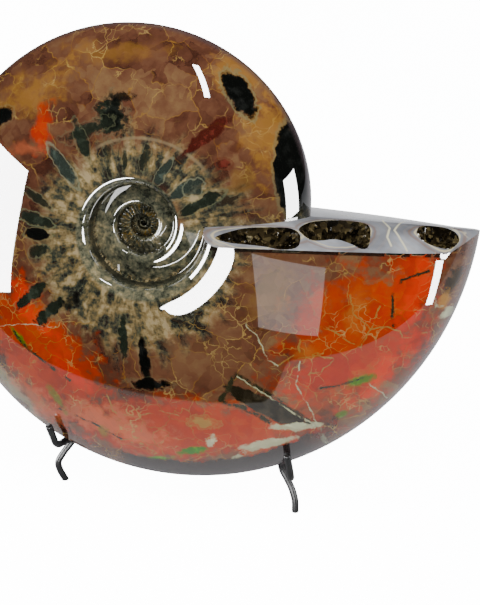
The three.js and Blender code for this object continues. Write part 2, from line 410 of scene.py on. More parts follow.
class Groups:
    """The shader node groups that the materials share."""

    def __init__(self) -> None:
        """Makes each group once."""
        self.plane = plane_group()
        self.patch = patch_group()
        self.streak = streak_group()
        self.veins = vein_group()

    def trace(self, g: Graph, before: Value, flat: Sequence[Value], parts: Iterable[Part]) -> Value:
        """Draws straight streaks one after another.

        Args:
            g: The material's graph.
            before: What the first streak is drawn after.
            flat: Across and up in the shell's plane.
            parts: The streaks.

        Returns:
            A mask of the streaks.
        """
        for start, end, width in parts:
            before = self.streak.use(
                g, Before=before, Across=flat[0], Up=flat[1], From_Across=start[0], From_Up=start[1],
                To_Across=end[0], To_Up=end[1], Width=width,
            )[0]
        return before


def new_material(name: str) -> tuple[bpy.types.Material, Graph, bpy.types.Node]:
    """Starts a material.

    Args:
        name: The material's name.

    Returns:
        The material, its graph and its shader.
    """
    made = bpy.data.materials.new(name)
    made.use_nodes = True
    return made, Graph(made.node_tree), made.node_tree.nodes["Principled BSDF"]


# Finishes


class Tint(Enum):
    """What a patch of the shell is coloured like: its colour, and the colour of the line round it."""

    BLACK = ("070806", "6d6b4a")
    GREEN = ("1d2219", "62654a")
    SLATE = ("2b322b", "75775f")
    MAROON = ("3f130c", "5a2a1c")
    RED = ("b02406", "b02406")
    SCARLET = ("e02a02", "e02a02")
    ORANGE = ("98300a", "98300a")
    CORAL = ("d07a50", "d07a50")
    GOLD = ("a8772e", "a8772e")
    TAN = ("715036", "715036")
    UMBER = ("412616", "412616")
    LEAFGREEN = ("2f6a08", "5f6a20")
    CREAM = ("aeb08c", "7c7a58")
    OCHRE = ("94712f", "94712f")
    OLIVE = ("1f1a10", "6a6a48")


@dataclass(frozen=True)
class Patch:
    """One patch of colour in the shell's plane, in shares of the mouth radius.

    Attributes:
        tint: Its colours.
        x: Across, from the coil's axis.
        y: Up, from the coil's axis.
        length: Half its length.
        width: Half its width.
        angle: How its length is turned, in degrees.
        taper: How much it narrows along its length.
        ragged: How uneven its edge is.
        soft: How wide its edge fades, from 0 to 1.
        amount: How much of its colour shows.
        rim: How strongly the line round it shows.
    """

    tint: Tint
    x: float
    y: float
    length: float
    width: float
    angle: float = 0.0
    taper: float = 0.0
    ragged: float = 0.9
    soft: float = 0.25
    amount: float = 1.0
    rim: float = 0.0


ZONES = (
    Patch(Tint.GOLD, -0.36, 0.36, 0.2, 0.09, 30, 0, 2.2, 0.8, 0.9),
    Patch(Tint.GOLD, -0.12, 0.5, 0.2, 0.04, 0, 0, 2.2, 0.8, 0.6),
    Patch(Tint.GOLD, 0.36, 0.27, 0.19, 0.08, 110, 0, 2.4, 0.7, 0.95),
    Patch(Tint.GOLD, 0.27, 0.44, 0.13, 0.08, 130, 0, 2.2, 0.6, 0.85),
    Patch(Tint.OCHRE, 0.29, 0.12, 0.1, 0.05, 60, 0, 2.2, 0.7, 0.6),
    Patch(Tint.RED, -0.31, 0.27, 0.1, 0.045, 75, 0, 2.0, 0.7, 0.9),
    Patch(Tint.CORAL, -0.36, 0.2, 0.09, 0.03, 10, 0, 1.6, 0.8, 0.5),
    Patch(Tint.ORANGE, -0.3, -0.44, 0.33, 0.18, -52, 0, 1.8, 0.45, 1.0),
    Patch(Tint.SCARLET, -0.33, -0.29, 0.2, 0.045, -50, 0, 2.0, 0.7, 1.0),
    Patch(Tint.SCARLET, -0.23, -0.48, 0.12, 0.04, -42, 0, 2.0, 0.7, 0.8),
    Patch(Tint.ORANGE, 0.14, -0.64, 0.5, 0.14, 3, 0, 1.4, 0.5, 1.0),
    Patch(Tint.UMBER, 0.1, -0.52, 0.14, 0.018, 2, 0, 1.6, 0.7, 0.6),
    Patch(Tint.TAN, 0.1, -0.4, 0.14, 0.07, 0, 0, 1.6, 0.7, 0.5),
    Patch(Tint.TAN, 0.24, -0.38, 0.15, 0.1, 20, 0, 1.6, 0.7, 0.75),
    Patch(Tint.ORANGE, 0.66, -0.3, 0.34, 0.24, 50, 0, 1.6, 0.6, 0.95),
    Patch(Tint.RED, 0.79, -0.16, 0.22, 0.09, 75, 0, 1.8, 0.7, 0.9),
    Patch(Tint.SCARLET, 0.83, -0.15, 0.16, 0.05, 76, 0, 1.6, 0.7, 1.0),
    Patch(Tint.SCARLET, 0.76, -0.4, 0.2, 0.06, 52, 0, 1.8, 0.8, 0.9),
    Patch(Tint.RED, 0.6, -0.42, 0.2, 0.06, 25, 0, 1.8, 0.8, 0.8),
    Patch(Tint.GOLD, 0.67, -0.22, 0.1, 0.05, 80, 0, 2.2, 0.9, 0.7),
    Patch(Tint.GOLD, 0.52, -0.36, 0.07, 0.04, 20, 0, 2.2, 0.9, 0.6),
    Patch(Tint.OCHRE, 0.41, -0.16, 0.13, 0.09, 80, 0, 2.2, 0.7, 0.55),
    Patch(Tint.CORAL, -0.08, -0.64, 0.26, 0.07, -14, 0, 2.2, 0.7, 0.85),
    Patch(Tint.CORAL, 0.52, -0.56, 0.2, 0.07, 32, 0, 2.2, 0.7, 0.25),
    Patch(Tint.CREAM, -0.43, -0.58, 0.17, 0.04, -50, 0, 2.0, 0.7, 0.8),
    Patch(Tint.CORAL, -0.33, -0.62, 0.16, 0.06, -40, 0, 1.6, 0.8, 0.6),
)

MARKS = (
    Patch(Tint.LEAFGREEN, 0.175, -0.715, 0.06, 0.02, 15, 0, 2.0, 0.6, 1.0),
    Patch(Tint.LEAFGREEN, 0.06, -0.76, 0.08, 0.012, 12, 0, 2.0, 0.6, 0.8),
    Patch(Tint.LEAFGREEN, 0.68, -0.44, 0.055, 0.022, 22, 0, 2.0, 0.6, 0.9),
    Patch(Tint.LEAFGREEN, 0.63, -0.56, 0.025, 0.015, 40, 0, 2.0, 0.6, 0.7),
    Patch(Tint.LEAFGREEN, -0.385, -0.385, 0.05, 0.012, -50, 0, 2.0, 0.6, 0.8),
    Patch(Tint.LEAFGREEN, -0.27, -0.58, 0.06, 0.02, -60, 0, 2.2, 0.7, 0.6),
    Patch(Tint.LEAFGREEN, -0.12, -0.68, 0.035, 0.02, -60, 0, 2.2, 0.7, 0.5),
    Patch(Tint.CREAM, 0.235, -0.672, 0.03, 0.018, 60, 0, 2.2, 0.4, 0.9),
    Patch(Tint.OCHRE, 0.21, -0.605, 0.06, 0.022, -4, 0, 1.8, 0.5, 0.9, 0.5),
    Patch(Tint.MAROON, 0.19, 0.275, 0.095, 0.022, 42, -0.3, 0.7, 0.25, 0.95, 0.2),
    Patch(Tint.MAROON, 0.246, 0.198, 0.026, 0.019, 0, 0, 0.6, 0.4, 0.9, 0.6),
    Patch(Tint.MAROON, 0.275, 0.245, 0.02, 0.014, 40, 0, 0.6, 0.4, 0.5, 0.4),
    Patch(Tint.BLACK, 0.272, 0.395, 0.085, 0.036, -52, 0, 1.2, 0.2, 1.0, 0.6),
    Patch(Tint.BLACK, 0.445, 0.165, 0.155, 0.06, 102, 0.15, 0.5, 0.1, 1.0, 0.5),
    Patch(Tint.BLACK, -0.45, 0.293, 0.045, 0.028, 20, 0, 1.2, 0.3, 1.0, 0.3),
    Patch(Tint.GREEN, -0.095, 0.32, 0.065, 0.055, 90, 0.35, 2.2, 0.35, 1.0, 0.3),
    Patch(Tint.BLACK, -0.09, 0.325, 0.05, 0.038, 90, 0.4, 1.6, 0.4, 0.85),
    Patch(Tint.BLACK, -0.075, 0.375, 0.055, 0.02, 0, 0, 2.4, 0.5, 0.9),
    Patch(Tint.GREEN, -0.17, 0.275, 0.08, 0.028, 25, 0, 2.0, 0.5, 0.95, 0.3),
    Patch(Tint.GREEN, -0.178, 0.24, 0.07, 0.02, 118, 0, 1.2, 0.3, 1.0, 0.4),
    Patch(Tint.SLATE, -0.232, 0.165, 0.08, 0.02, -48, 0, 0.7, 0.25, 1.0, 0.7),
    Patch(Tint.GREEN, -0.31, 0.062, 0.058, 0.014, -28, 0.3, 1.0, 0.3, 0.9, 0.7),
    Patch(Tint.GREEN, -0.315, 0.0, 0.064, 0.02, -12, 0.2, 1.0, 0.3, 1.0, 0.8),
    Patch(Tint.BLACK, -0.305, -0.045, 0.05, 0.017, 4, 0.2, 1.0, 0.3, 1.0, 0.6),
    Patch(Tint.GREEN, -0.3, -0.095, 0.045, 0.018, 12, 0.2, 1.2, 0.4, 0.9, 0.5),
    Patch(Tint.SLATE, 0.075, 0.168, 0.045, 0.014, 62, 0, 1.0, 0.3, 1.0, 0.6),
    Patch(Tint.SLATE, 0.125, 0.115, 0.045, 0.017, 42, 0, 1.2, 0.3, 1.0, 0.5),
    Patch(Tint.SLATE, 0.165, 0.125, 0.03, 0.025, 42, 0, 1.0, 0.3, 0.9, 0.6),
    Patch(Tint.GREEN, 0.185, 0.078, 0.08, 0.018, 30, -0.3, 1.0, 0.25, 1.0, 0.6),
    Patch(Tint.GREEN, 0.02, 0.205, 0.04, 0.014, 84, 0, 1.6, 0.4, 0.8, 0.4),
    Patch(Tint.GREEN, -0.04, 0.205, 0.045, 0.009, 92, 0, 1.6, 0.4, 0.9, 0.4),
    Patch(Tint.GREEN, -0.09, 0.2, 0.05, 0.012, 104, 0, 1.8, 0.4, 0.7, 0.4),
    Patch(Tint.GREEN, -0.33, -0.238, 0.085, 0.02, 42, 0, 1.6, 0.3, 1.0, 0.3),
    Patch(Tint.GREEN, -0.27, -0.285, 0.085, 0.022, 44, 0, 1.8, 0.3, 1.0, 0.3),
    Patch(Tint.BLACK, -0.2, -0.24, 0.05, 0.025, 30, 0, 2.0, 0.6, 0.7),
    Patch(Tint.GREEN, -0.028, -0.335, 0.085, 0.016, 90, 0, 1.4, 0.35, 1.0, 0.3),
    Patch(Tint.BLACK, 0.033, -0.4, 0.085, 0.02, 96, 0.25, 0.9, 0.3, 1.0, 0.2),
    Patch(Tint.BLACK, 0.05, -0.487, 0.075, 0.022, 4, 0, 1.6, 0.35, 1.0, 0.3),
    Patch(Tint.TAN, 0.12, -0.34, 0.07, 0.03, 110, 0, 2.4, 0.8, 0.6),
    Patch(Tint.OLIVE, 0.4, -0.535, 0.15, 0.036, -28, -0.35, 0.5, 0.2, 1.0),
    Patch(Tint.CREAM, 0.5, -0.602, 0.085, 0.016, 6, 0, 1.4, 0.35, 1.0),
    Patch(Tint.CREAM, 0.4, -0.672, 0.095, 0.016, 16, 0, 1.4, 0.35, 0.9),
    Patch(Tint.OLIVE, 0.935, -0.12, 0.07, 0.025, 75, 0, 1.8, 0.5, 0.9),
    Patch(Tint.GOLD, 0.915, -0.18, 0.04, 0.02, 70, 0, 2.0, 0.7, 0.8),
    Patch(Tint.CREAM, 0.925, -0.225, 0.03, 0.018, 40, 0, 1.8, 0.5, 0.9),
)


class Line(Enum):
    """The colours of the shell's healed cracks."""

    DARK = "2a2a1a"
    GOLD = "8c6c34"
    PALE = "a3a27e"


@dataclass(frozen=True)
class Streak:
    """A healed crack or a line of the shell, through points of its plane in shares of the mouth radius.

    Attributes:
        tint: Its colour.
        width: Half its width.
        points: What it runs through.
    """

    tint: Line
    width: float
    points: tuple[Point, ...]


STREAKS = (
    Streak(Line.DARK, 0.011, ((0.314, -0.43), (0.266, -0.525), (0.34, -0.545), (0.421, -0.598))),
    Streak(Line.DARK, 0.012, ((0.314, -0.43), (0.41, -0.492), (0.505, -0.562), (0.565, -0.62))),
    Streak(Line.PALE, 0.0036, ((0.318, -0.437), (0.41, -0.5), (0.505, -0.57), (0.555, -0.6))),
    Streak(Line.PALE, 0.01, ((0.421, -0.602), (0.493, -0.618), (0.559, -0.595), (0.58, -0.68))),
    Streak(Line.PALE, 0.012, ((0.299, -0.739), (0.345, -0.7), (0.419, -0.676), (0.495, -0.648))),
    Streak(
        Line.GOLD, 0.0036,
        ((0.574, -0.261), (0.633, -0.301), (0.68, -0.328), (0.707, -0.268), (0.73, -0.193)),
    ),
    Streak(
        Line.GOLD, 0.0032,
        ((0.707, -0.268), (0.75, -0.262), (0.791, -0.275), (0.801, -0.302), (0.884, -0.281)),
    ),
    Streak(Line.GOLD, 0.0036, ((0.441, -0.393), (0.498, -0.35), (0.503, -0.308))),
    Streak(
        Line.GOLD, 0.0032, ((0.498, -0.367), (0.562, -0.358), (0.603, -0.371), (0.565, -0.41), (0.53, -0.42)),
    ),
    Streak(Line.GOLD, 0.0028, ((0.642, -0.159), (0.655, -0.22), (0.707, -0.268))),
    Streak(Line.DARK, 0.006, ((0.863, -0.086), (0.789, -0.114), (0.765, -0.164), (0.77, -0.259))),
    Streak(Line.PALE, 0.0032, ((0.336, -0.253), (0.377, -0.303), (0.41, -0.377), (0.439, -0.396))),
    Streak(Line.PALE, 0.0032, ((0.504, -0.38), (0.493, -0.458), (0.541, -0.551), (0.579, -0.654))),
    Streak(Line.DARK, 0.005, ((0.567, -0.468), (0.637, -0.451), (0.709, -0.424))),
    Streak(Line.PALE, 0.0028, ((0.709, -0.449), (0.762, -0.507))),
    Streak(
        Line.DARK, 0.007,
        ((-0.402, -0.369), (-0.375, -0.404), (-0.346, -0.427), (-0.279, -0.47), (-0.215, -0.507)),
    ),
    Streak(
        Line.GOLD, 0.0032,
        ((-0.093, -0.539), (-0.078, -0.603), (-0.007, -0.61), (0.078, -0.578), (0.135, -0.588)),
    ),
    Streak(Line.GOLD, 0.0028, ((0.015, -0.629), (0.007, -0.683), (-0.061, -0.705))),
    Streak(Line.PALE, 0.0022, ((-0.453, -0.362), (-0.372, -0.339), (-0.254, -0.331))),
    Streak(Line.PALE, 0.005, ((0.885, -0.06), (0.876, -0.147), (0.891, -0.198), (0.937, -0.211))),
    Streak(Line.DARK, 0.005, ((-0.265, -0.62), (-0.163, -0.65), (-0.06, -0.7))),
)


@dataclass(frozen=True)
class Field:
    """A stretch of the front flank with a material of its own, so that each material stays small.

    Attributes:
        name: Its name.
        left: Its left side, in shares of the mouth radius.
        right: Its right side.
        low: Its lower side.
        high: Its upper side.
    """

    name: str
    left: float
    right: float
    low: float
    high: float

    def holds(self, x: float, y: float, spare: float = 0.0) -> bool:
        """Whether a place lies in the field or less than a spare distance outside it."""
        return self.left - spare < x < self.right + spare and self.low - spare < y < self.high + spare

    def patches(self, all_of_them: Sequence[Patch]) -> list[Patch]:
        """The patches that can reach into the field."""
        return [p for p in all_of_them if self.holds(p.x, p.y, 0.08 + 1.5 * max(p.length, p.width))]

    def streaks(self, tint: Line) -> list[Part]:
        """The straight parts of the lines of one colour that reach into the field, with their widths."""
        parts = [(a, b, s.width) for s in STREAKS if s.tint is tint for a, b in zip(s.points, s.points[1:])]
        return [part for part in parts if self.holds(*part[0], 0.15) or self.holds(*part[1], 0.15)]


# The pale walls between the last chambers, as they show on the mouth: out from the axis and to the front.
SEPTA = (
    ((0.708, -0.03), (0.714, 0.01), (0.737, 0.06), (0.735, 0.11), (0.75, 0.14)),
    ((0.775, -0.04), (0.765, 0.0), (0.752, 0.07), (0.775, 0.11), (0.797, 0.14)),
)

FIELDS = (
    Field("upper", -2.0, 2.0, -0.12, 2.0),
    Field("lower_left", -2.0, 0.3, -2.0, -0.12),
    Field("lower_right", 0.3, 2.0, -2.0, -0.12),
)
# The back has no marks, so its field lies nowhere on the front.
PLAIN = Field("plain", 0.0, 0.0, 9.0, 9.0)

BROWN_CHIPS = {0.1: "27140e", 0.32: "45271b", 0.5: "5c3928", 0.66: "6b4b33", 0.84: "7c5f3e"}
RED_CHIPS = {0.1: "571404", 0.32: "861f04", 0.5: "a82c06", 0.66: "b83f0c", 0.84: "a85f14"}
# The zones of these tints are broken up by red chips, the others by what lies under them.
WARM = (Tint.RED, Tint.SCARLET, Tint.ORANGE, Tint.CORAL)


@dataclass(frozen=True)
class ShellFinish:
    """Polished fossil shell: brown stone in chips, red and gold flashes, healed cracks, high gloss.

    Attributes:
        groups: The shared node groups.
        roughness: How dull the stone under the polish is.
        coat_ior: How strongly the polish mirrors.
        ripple: How uneven the polish is.
        large_chips: How fine the pattern of large chips is.
        small_chips: How fine the pattern of small chips is.
        dark_gain: How much lighter a dark mark is where it is uneven.
        pale_gain: The same for a pale one.
    """

    groups: Groups
    roughness: float = 0.3
    coat_ior: float = 1.85
    ripple: float = 0.02
    large_chips: float = 10.5
    small_chips: float = 25.0
    dark_gain: float = 2.4
    pale_gain: float = 1.2

    def uneven_plane(
        self, g: Graph, flat: Value, sway: Value, reach: float, pick: Value
    ) -> tuple[Socket, Socket]:
        """Coordinates in the shell's plane, made uneven, that jump a little from chip to chip.

        Args:
            g: The material's graph.
            flat: Coordinates in the shell's plane.
            sway: Noises round zero.
            reach: How far they shift the coordinates.
            pick: The chips' tones.

        Returns:
            Across and up.
        """
        parts = g.split(g.moved(flat, sway, reach))
        jump = g.times(g.minus(pick, 0.5), 0.1 * reach)
        return g.plus(parts["X"], jump), g.plus(parts["Y"], jump)

    def material(self, part: Field) -> bpy.types.Material:
        """Builds the material of one field.

        Args:
            part: The field; the plain one has no marks and no streaks.

        Returns:
            The material.
        """
        made, g, shader = new_material("polished_shell_" + part.name)
        plane = self.groups.plane.use(g)
        place = plane["Place"]
        coarse, fine = g.sway(place, 7.0, 3.0, 0.62), g.sway(place, 34.0, 3.0, 0.62)
        uneven = g.minus(g.noise(place, 26.0, 4.0, 0.65), 0.5)
        share = g.add("ShaderNodeAttribute", attribute_name="share").outputs["Fac"]
        growth = g.add("ShaderNodeAttribute", attribute_name="growth").outputs["Fac"]

        bent = g.moved(g.moved(place, coarse, 0.1), fine, 0.018)
        large, small = (g.red(g.cells(bent, size)["Color"]) for size in (self.large_chips, self.small_chips))
        tones = g.plus(g.times(large, 0.27), g.plus(g.times(small, 0.17), 0.1))
        cloud = g.noise(place, 3.4, 5.0, 0.62)
        pick = g.plus(g.plus(tones, g.times(g.minus(cloud, 0.3), 0.8)), g.times(uneven, 0.5))
        swayed = self.uneven_plane(g, plane["Flat"], coarse, 0.12, pick)
        frayed = self.uneven_plane(g, plane["Flat"], fine, 0.02, pick)
        colour, warmth = g.ramp(pick, BROWN_CHIPS), g.ramp(pick, RED_CHIPS)
        for zone in ZONES if part is PLAIN else part.patches(ZONES):
            colour = self.lay(g, colour, zone, swayed, uneven, warmth)
        colour = self.belt(g, colour, plane, uneven)
        colour, lines = self.net(g, colour, bent, place, plane["Radius"])
        marked = colour
        for mark in part.patches(MARKS):
            marked = self.lay(g, marked, mark, frayed, uneven)
        for tint in Line:
            traced = self.groups.trace(g, g.times(g.red(marked), NEXT_TO_NOTHING), frayed, part.streaks(tint))
            marked = g.mix(g.times(traced, g.fade(uneven, -0.13, 0.06)), marked, tint.value)
        axes = g.split(place)
        colour = g.mix(g.fade(axes["Z"], -0.01, 0.01), colour, marked)
        # painted light on the keel: shade along its bottom and a grey-lavender reflection all round
        colour = self.rim(g, colour, share, growth, uneven)
        colour = self.navel(g, colour, share, growth, place)
        colour = self.brink(g, colour, axes, growth)

        g.put(shader, Base_Color=colour, Roughness=self.roughness, Specular_IOR_Level=0.0)
        g.put(shader, Coat_Weight=1.0, Coat_Roughness=0.015, Coat_IOR=self.coat_ior)
        g.bump(shader, self.ripple, 0.002, g.minus(cloud, g.times(lines, 0.1)))
        return made

    def lay(
        self, g: Graph, colour: Value, patch: Patch, flat: Sequence[Value], uneven: Value,
        warmth: Value | None = None,
    ) -> Socket:
        """Lays one patch over the colour.

        Args:
            g: The material's graph.
            colour: What it goes over.
            patch: The patch.
            flat: Across and up in the shell's plane.
            uneven: Noise round zero that makes edges and colours uneven.
            warmth: Chips that break up a warm zone; without them the patch is a plain mark.

        Returns:
            The new colour.
        """
        masks = self.groups.patch.use(
            g, Before=g.red(colour), Across=flat[0], Up=flat[1], Centre_Across=patch.x, Centre_Up=patch.y,
            Length=patch.length, Width=patch.width, Angle=math.radians(patch.angle), Taper=patch.taper,
            Uneven=uneven, Ragged=patch.ragged, Soft=patch.soft,
        )
        body, line = patch.tint.value
        if warmth is not None:
            inside = g.mix(0.5, body, warmth if patch.tint in WARM else colour)
        else:
            tone = srgb(body)[:3]
            gain = self.dark_gain if max(tone) < 0.2 else self.pale_gain
            lighter = tuple(min(1.0, gain * channel + 0.004) for channel in tone) + (1.0,)
            inside = g.mix(g.fade(uneven, -0.02, 0.16), body, lighter)
        if patch.rim:
            colour = g.lay(colour, masks["Rim"], patch.rim, line)
        return g.lay(colour, masks["Mask"], patch.amount, inside)

    def net(self, g: Graph, colour: Value, bent: Value, place: Value, radius: Value) -> tuple[Socket, Socket]:
        """The net of healed cracks along the borders of the chips.

        Args:
            g: The material's graph.
            colour: What it goes over.
            bent: The coordinates of the chips.
            place: The shell's own coordinates.
            radius: Distance from the coil's axis.

        Returns:
            The new colour and how strongly a line shows.
        """
        wide = g.cells(bent, self.large_chips, "DISTANCE_TO_EDGE")["Distance"]
        narrow = g.cells(bent, self.small_chips, "DISTANCE_TO_EDGE")["Distance"]
        here, there = g.noise(place, 5.0, 3.0, 0.6), g.noise(place, 11.0, 2.0, 0.6)
        long_lines = g.times(g.fade(wide, 0.016, 0.003), g.fade(here, 0.42, 0.54))
        short_lines = g.times(g.fade(narrow, 0.03, 0.006), g.fade(there, 0.5, 0.62))
        lines = g.math("MAXIMUM", long_lines, g.times(short_lines, 0.8))
        lines = g.times(lines, g.plus(0.25, g.times(g.fade(radius, 0.3, 0.36), 0.55)))
        return g.mix(lines, colour, g.ramp(there, {0.35: "7a4c18", 0.5: "96702f", 0.65: "a88c50"})), lines

    def belt(self, g: Graph, colour: Value, plane: bpy.types.NodeOutputs, uneven: Value) -> Socket:
        """The belt round the navel, striped from the middle outwards in tan, gold and dark green.

        Args:
            g: The material's graph.
            colour: What it goes over.
            plane: The shell's own coordinates.
            uneven: Noise round zero.

        Returns:
            The new colour.
        """
        radius, towards = plane["Radius"], g.split(plane["Round"])
        rays = g.vector("SCALE", plane["Round"], scale=7.0)
        stripe = g.noise(g.vector("ADD", rays, g.joined(Z=g.times(radius, 7.0))), 1.1, 4.0, 0.65)
        stops = {0.3: "161b18", 0.42: "3b4235", 0.5: "655a3c", 0.58: "83714b", 0.7: "a5936c"}
        tone = g.ramp(g.plus(stripe, g.times(uneven, 1.3)), stops)
        ragged = g.plus(g.plus(radius, g.times(towards["Y"], 0.06)), g.times(g.minus(stripe, 0.5), 0.3))
        laid = g.lay(colour, g.times(g.fade(ragged, 0.36, 0.27), g.fade(radius, 0.12, 0.16)), 0.88, tone)
        high = g.times(g.fade(towards["Y"], 0.55, 0.8), g.fade(towards["X"], -0.6, -0.4))
        return g.lay(laid, g.times(g.near(radius, 0.262, 0.008, 0.001), high), 0.36, "9c8a68")

    def rim(self, g: Graph, colour: Value, share: Value, growth: Value, uneven: Value) -> Socket:
        """The keel: painted shade, dark along the bottom, and a painted grey-lavender reflection of the pale
        surroundings all the way round.

        Args:
            g: The material's graph.
            colour: What it goes over.
            share: Place on the section.
            growth: Place along the coil, in turns.
            uneven: Noise round zero.

        Returns:
            The new colour.
        """
        shaken = g.plus(share, g.times(uneven, 0.05))
        # painted shade: the keel darkened along the bottom, where it faces the floor
        stretch = g.times(g.fade(growth, 0.725, 0.745), g.fade(growth, 0.885, 0.85))
        colour = g.mix(g.times(g.fade(shaken, 0.905, 0.92), stretch), colour, "2c2423")
        # painted reflection: the pale surroundings mirrored grey-lavender on the keel all the way round
        return g.lay(colour, g.fade(share, 0.975, 1.0), 0.7, "4b4042")

    def brink(self, g: Graph, colour: Value, axes: bpy.types.NodeOutputs, growth: Value) -> Socket:
        """The thin dark line that runs just under the mouth's edge.

        Args:
            g: The material's graph.
            colour: What it goes over.
            axes: The shell's own coordinates, one by one.
            growth: Place along the coil, in turns.

        Returns:
            The new colour.
        """
        height = g.plus(axes["Y"], g.times(g.math("POWER", axes["X"], 4.0), 0.01))
        line = g.times(g.fade(height, -0.042, -0.038), g.fade(growth, 0.5, 0.6))
        line = g.times(g.times(line, g.fade(axes["Z"], -0.01, 0.01)), g.fade(axes["X"], 0.94, 0.9))
        return g.lay(colour, line, 0.9, "170f0c")

    def navel(self, g: Graph, colour: Value, share: Value, growth: Value, place: Value) -> Socket:
        """The inner whorls and the wall down to them, dark glassy grey-green with brown and golden flecks.

        Args:
            g: The material's graph.
            colour: What it goes over.
            share: Place on the section.
            growth: Place along the coil, in turns.
            place: The shell's own coordinates.

        Returns:
            The new colour.
        """
        specks = g.noise(place, 52.0, 4.0, 0.75)
        pick = g.plus(g.times(specks, 0.6), g.times(g.noise(place, 15.0, 3.0, 0.6), 0.4))
        tone = g.ramp(pick, {0.36: "161813", 0.45: "383c30", 0.53: "61604c", 0.6: "8b7e5b", 0.7: "b5ae8d"})
        inside = g.math("MAXIMUM", g.fade(growth, 0.02, -0.02), g.fade(share, 0.262, 0.248))
        beads = g.times(g.fade(growth, -1.15, -1.35), g.fade(growth, -2.4, -2.2))
        laid = g.mix(g.times(beads, g.fade(specks, 0.5, 0.62)), g.lay(colour, inside, 0.96, tone), "7a6026")
        return g.lay(laid, g.fade(share, 0.222, 0.204), 0.85, "040404")


@dataclass(frozen=True)
class MouthFinish:
    """Polished blue-grey stone of the mouth, banded like agate round the hollows.

    Attributes:
        groups: The shared node groups.
        hollows: The hollows that the bands run round.
        wall_width: Half the width of the pale walls between the chambers.
    """

    groups: Groups
    hollows: tuple[Hollow, ...]
    wall_width: float = 0.0045

    def nearest(self, g: Graph, level: Value) -> Value:
        """How far a place of the mouth lies from the nearest hollow.

        Args:
            g: The material's graph.
            level: Out from the axis and towards the front.

        Returns:
            The distance, about 0 on a hollow's edge.
        """
        flat = g.moved(level, g.sway(level, 9.0), 0.035)
        nearest: Value = 9.0
        for hollow in self.hollows:
            offset = g.turned(g.vector("SUBTRACT", flat, (hollow.x, hollow.z, 0.0)), hollow.lean)
            reach = g.vector("LENGTH", g.vector("DIVIDE", offset, (hollow.wide, hollow.thick, 1.0)))
            nearest = g.math("MINIMUM", nearest, g.times(g.minus(reach, 1.0), hollow.thick))
        return nearest

    def material(self) -> bpy.types.Material:
        """Builds the material.

        Returns:
            The material.
        """
        made, g, shader = new_material("mouth_stone")
        place = self.groups.plane.use(g)["Place"]
        axes = g.split(place)
        nearest = self.nearest(g, g.joined(X=axes["X"], Y=axes["Z"]))
        colour = g.ramp(g.noise(place, 8.0), {0.3: "66676b", 0.5: "86888d", 0.7: "a8aaad"})
        veins = self.groups.veins.use(g, Place=place, Scale=6.0, Width=0.03, Breaks=0.55)[0]
        septa = [(a, b, self.wall_width) for points in SEPTA for a, b in zip(points, points[1:])]
        walls = self.groups.trace(g, g.times(nearest, NEXT_TO_NOTHING), (axes["X"], axes["Z"]), septa)
        for mask, amount, code in (
            (g.fade(g.math("SINE", g.times(nearest, 330.0)), 0.1, 0.9), 0.2, "94877a"),
            (g.near(nearest, 0.004, 0.003, 0.0005), 0.8, "cdbf98"),
            (g.near(nearest, 0.014, 0.006, 0.001), 0.5, "7c5a40"),
            (veins, 0.6, "c2baa0"),
            (walls, 0.9, "d6cfae"),
        ):
            colour = g.lay(colour, mask, amount, code)
        g.put(shader, Base_Color=colour, Roughness=0.12, Coat_Weight=0.3, Coat_Roughness=0.04)
        g.bump(shader, 0.04, 0.001, g.noise(place, 40.0, 2.0))
        return made


@dataclass(frozen=True)
class DruseFinish:
    """Small dark crystals with glassy faces, brown and smoky, and larger pale ones."""

    groups: Groups

    def glass(self, name: str) -> bpy.types.Material:
        """Builds the clearer, paler finish of the large crystals.

        Args:
            name: The material's name.

        Returns:
            The material.
        """
        made, g, shader = new_material(name)
        cloud = g.noise(self.groups.plane.use(g)["Place"], 45.0, 3.0, 0.6)
        colour = g.ramp(cloud, {0.35: "3c3f42", 0.5: "84888c", 0.65: "c9cccc"})
        g.put(shader, Base_Color=colour, Roughness=0.08, Coat_Weight=0.6)
        return made

    def material(self, name: str) -> bpy.types.Material:
        """Builds the dark finish of the small crystals and the walls behind them.

        Args:
            name: The material's name.

        Returns:
            The material.
        """
        made, g, shader = new_material(name)
        place = self.groups.plane.use(g)["Place"]
        pick = g.plus(g.times(g.cells(place, 60.0)["Color"], 0.6), g.times(g.noise(place, 12.0), 0.4))
        stops = {0.2: "090806", 0.42: "231d13", 0.58: "4a3f29", 0.74: "85764e", 0.9: "bdb69c"}
        g.put(shader, Base_Color=g.ramp(pick, stops), Roughness=0.12)
        g.bump(shader, 0.3, 0.0004, g.noise(place, 160.0, 2.0))
        return made


@dataclass(frozen=True)
class WireFinish:
    """Black satin paint on steel wire, a little uneven, rubbed grey here and there."""

    body: str = "040405"
    worn: str = "2c2d30"

    def material(self) -> bpy.types.Material:
        """Builds the material.

        Returns:
            The material.
        """
        made, g, shader = new_material("black_wire")
        place = g.add("ShaderNodeTexCoord").outputs["Object"]
        patchy, specks = g.noise(place, 140.0, 3.0, 0.6), g.noise(place, 900.0, 2.0, 0.7)
        rubbed = g.times(g.fade(patchy, 0.56, 0.68), g.fade(specks, 0.45, 0.6))
        g.put(shader, Base_Color=g.lay(self.body, rubbed, 0.6, self.worn), Specular_IOR_Level=0.3)
        g.put(shader, Roughness=g.plus(0.26, g.times(patchy, 0.25)))
        g.bump(shader, 0.25, 0.0003, g.noise(place, 420.0, 3.0, 0.6))
        return made


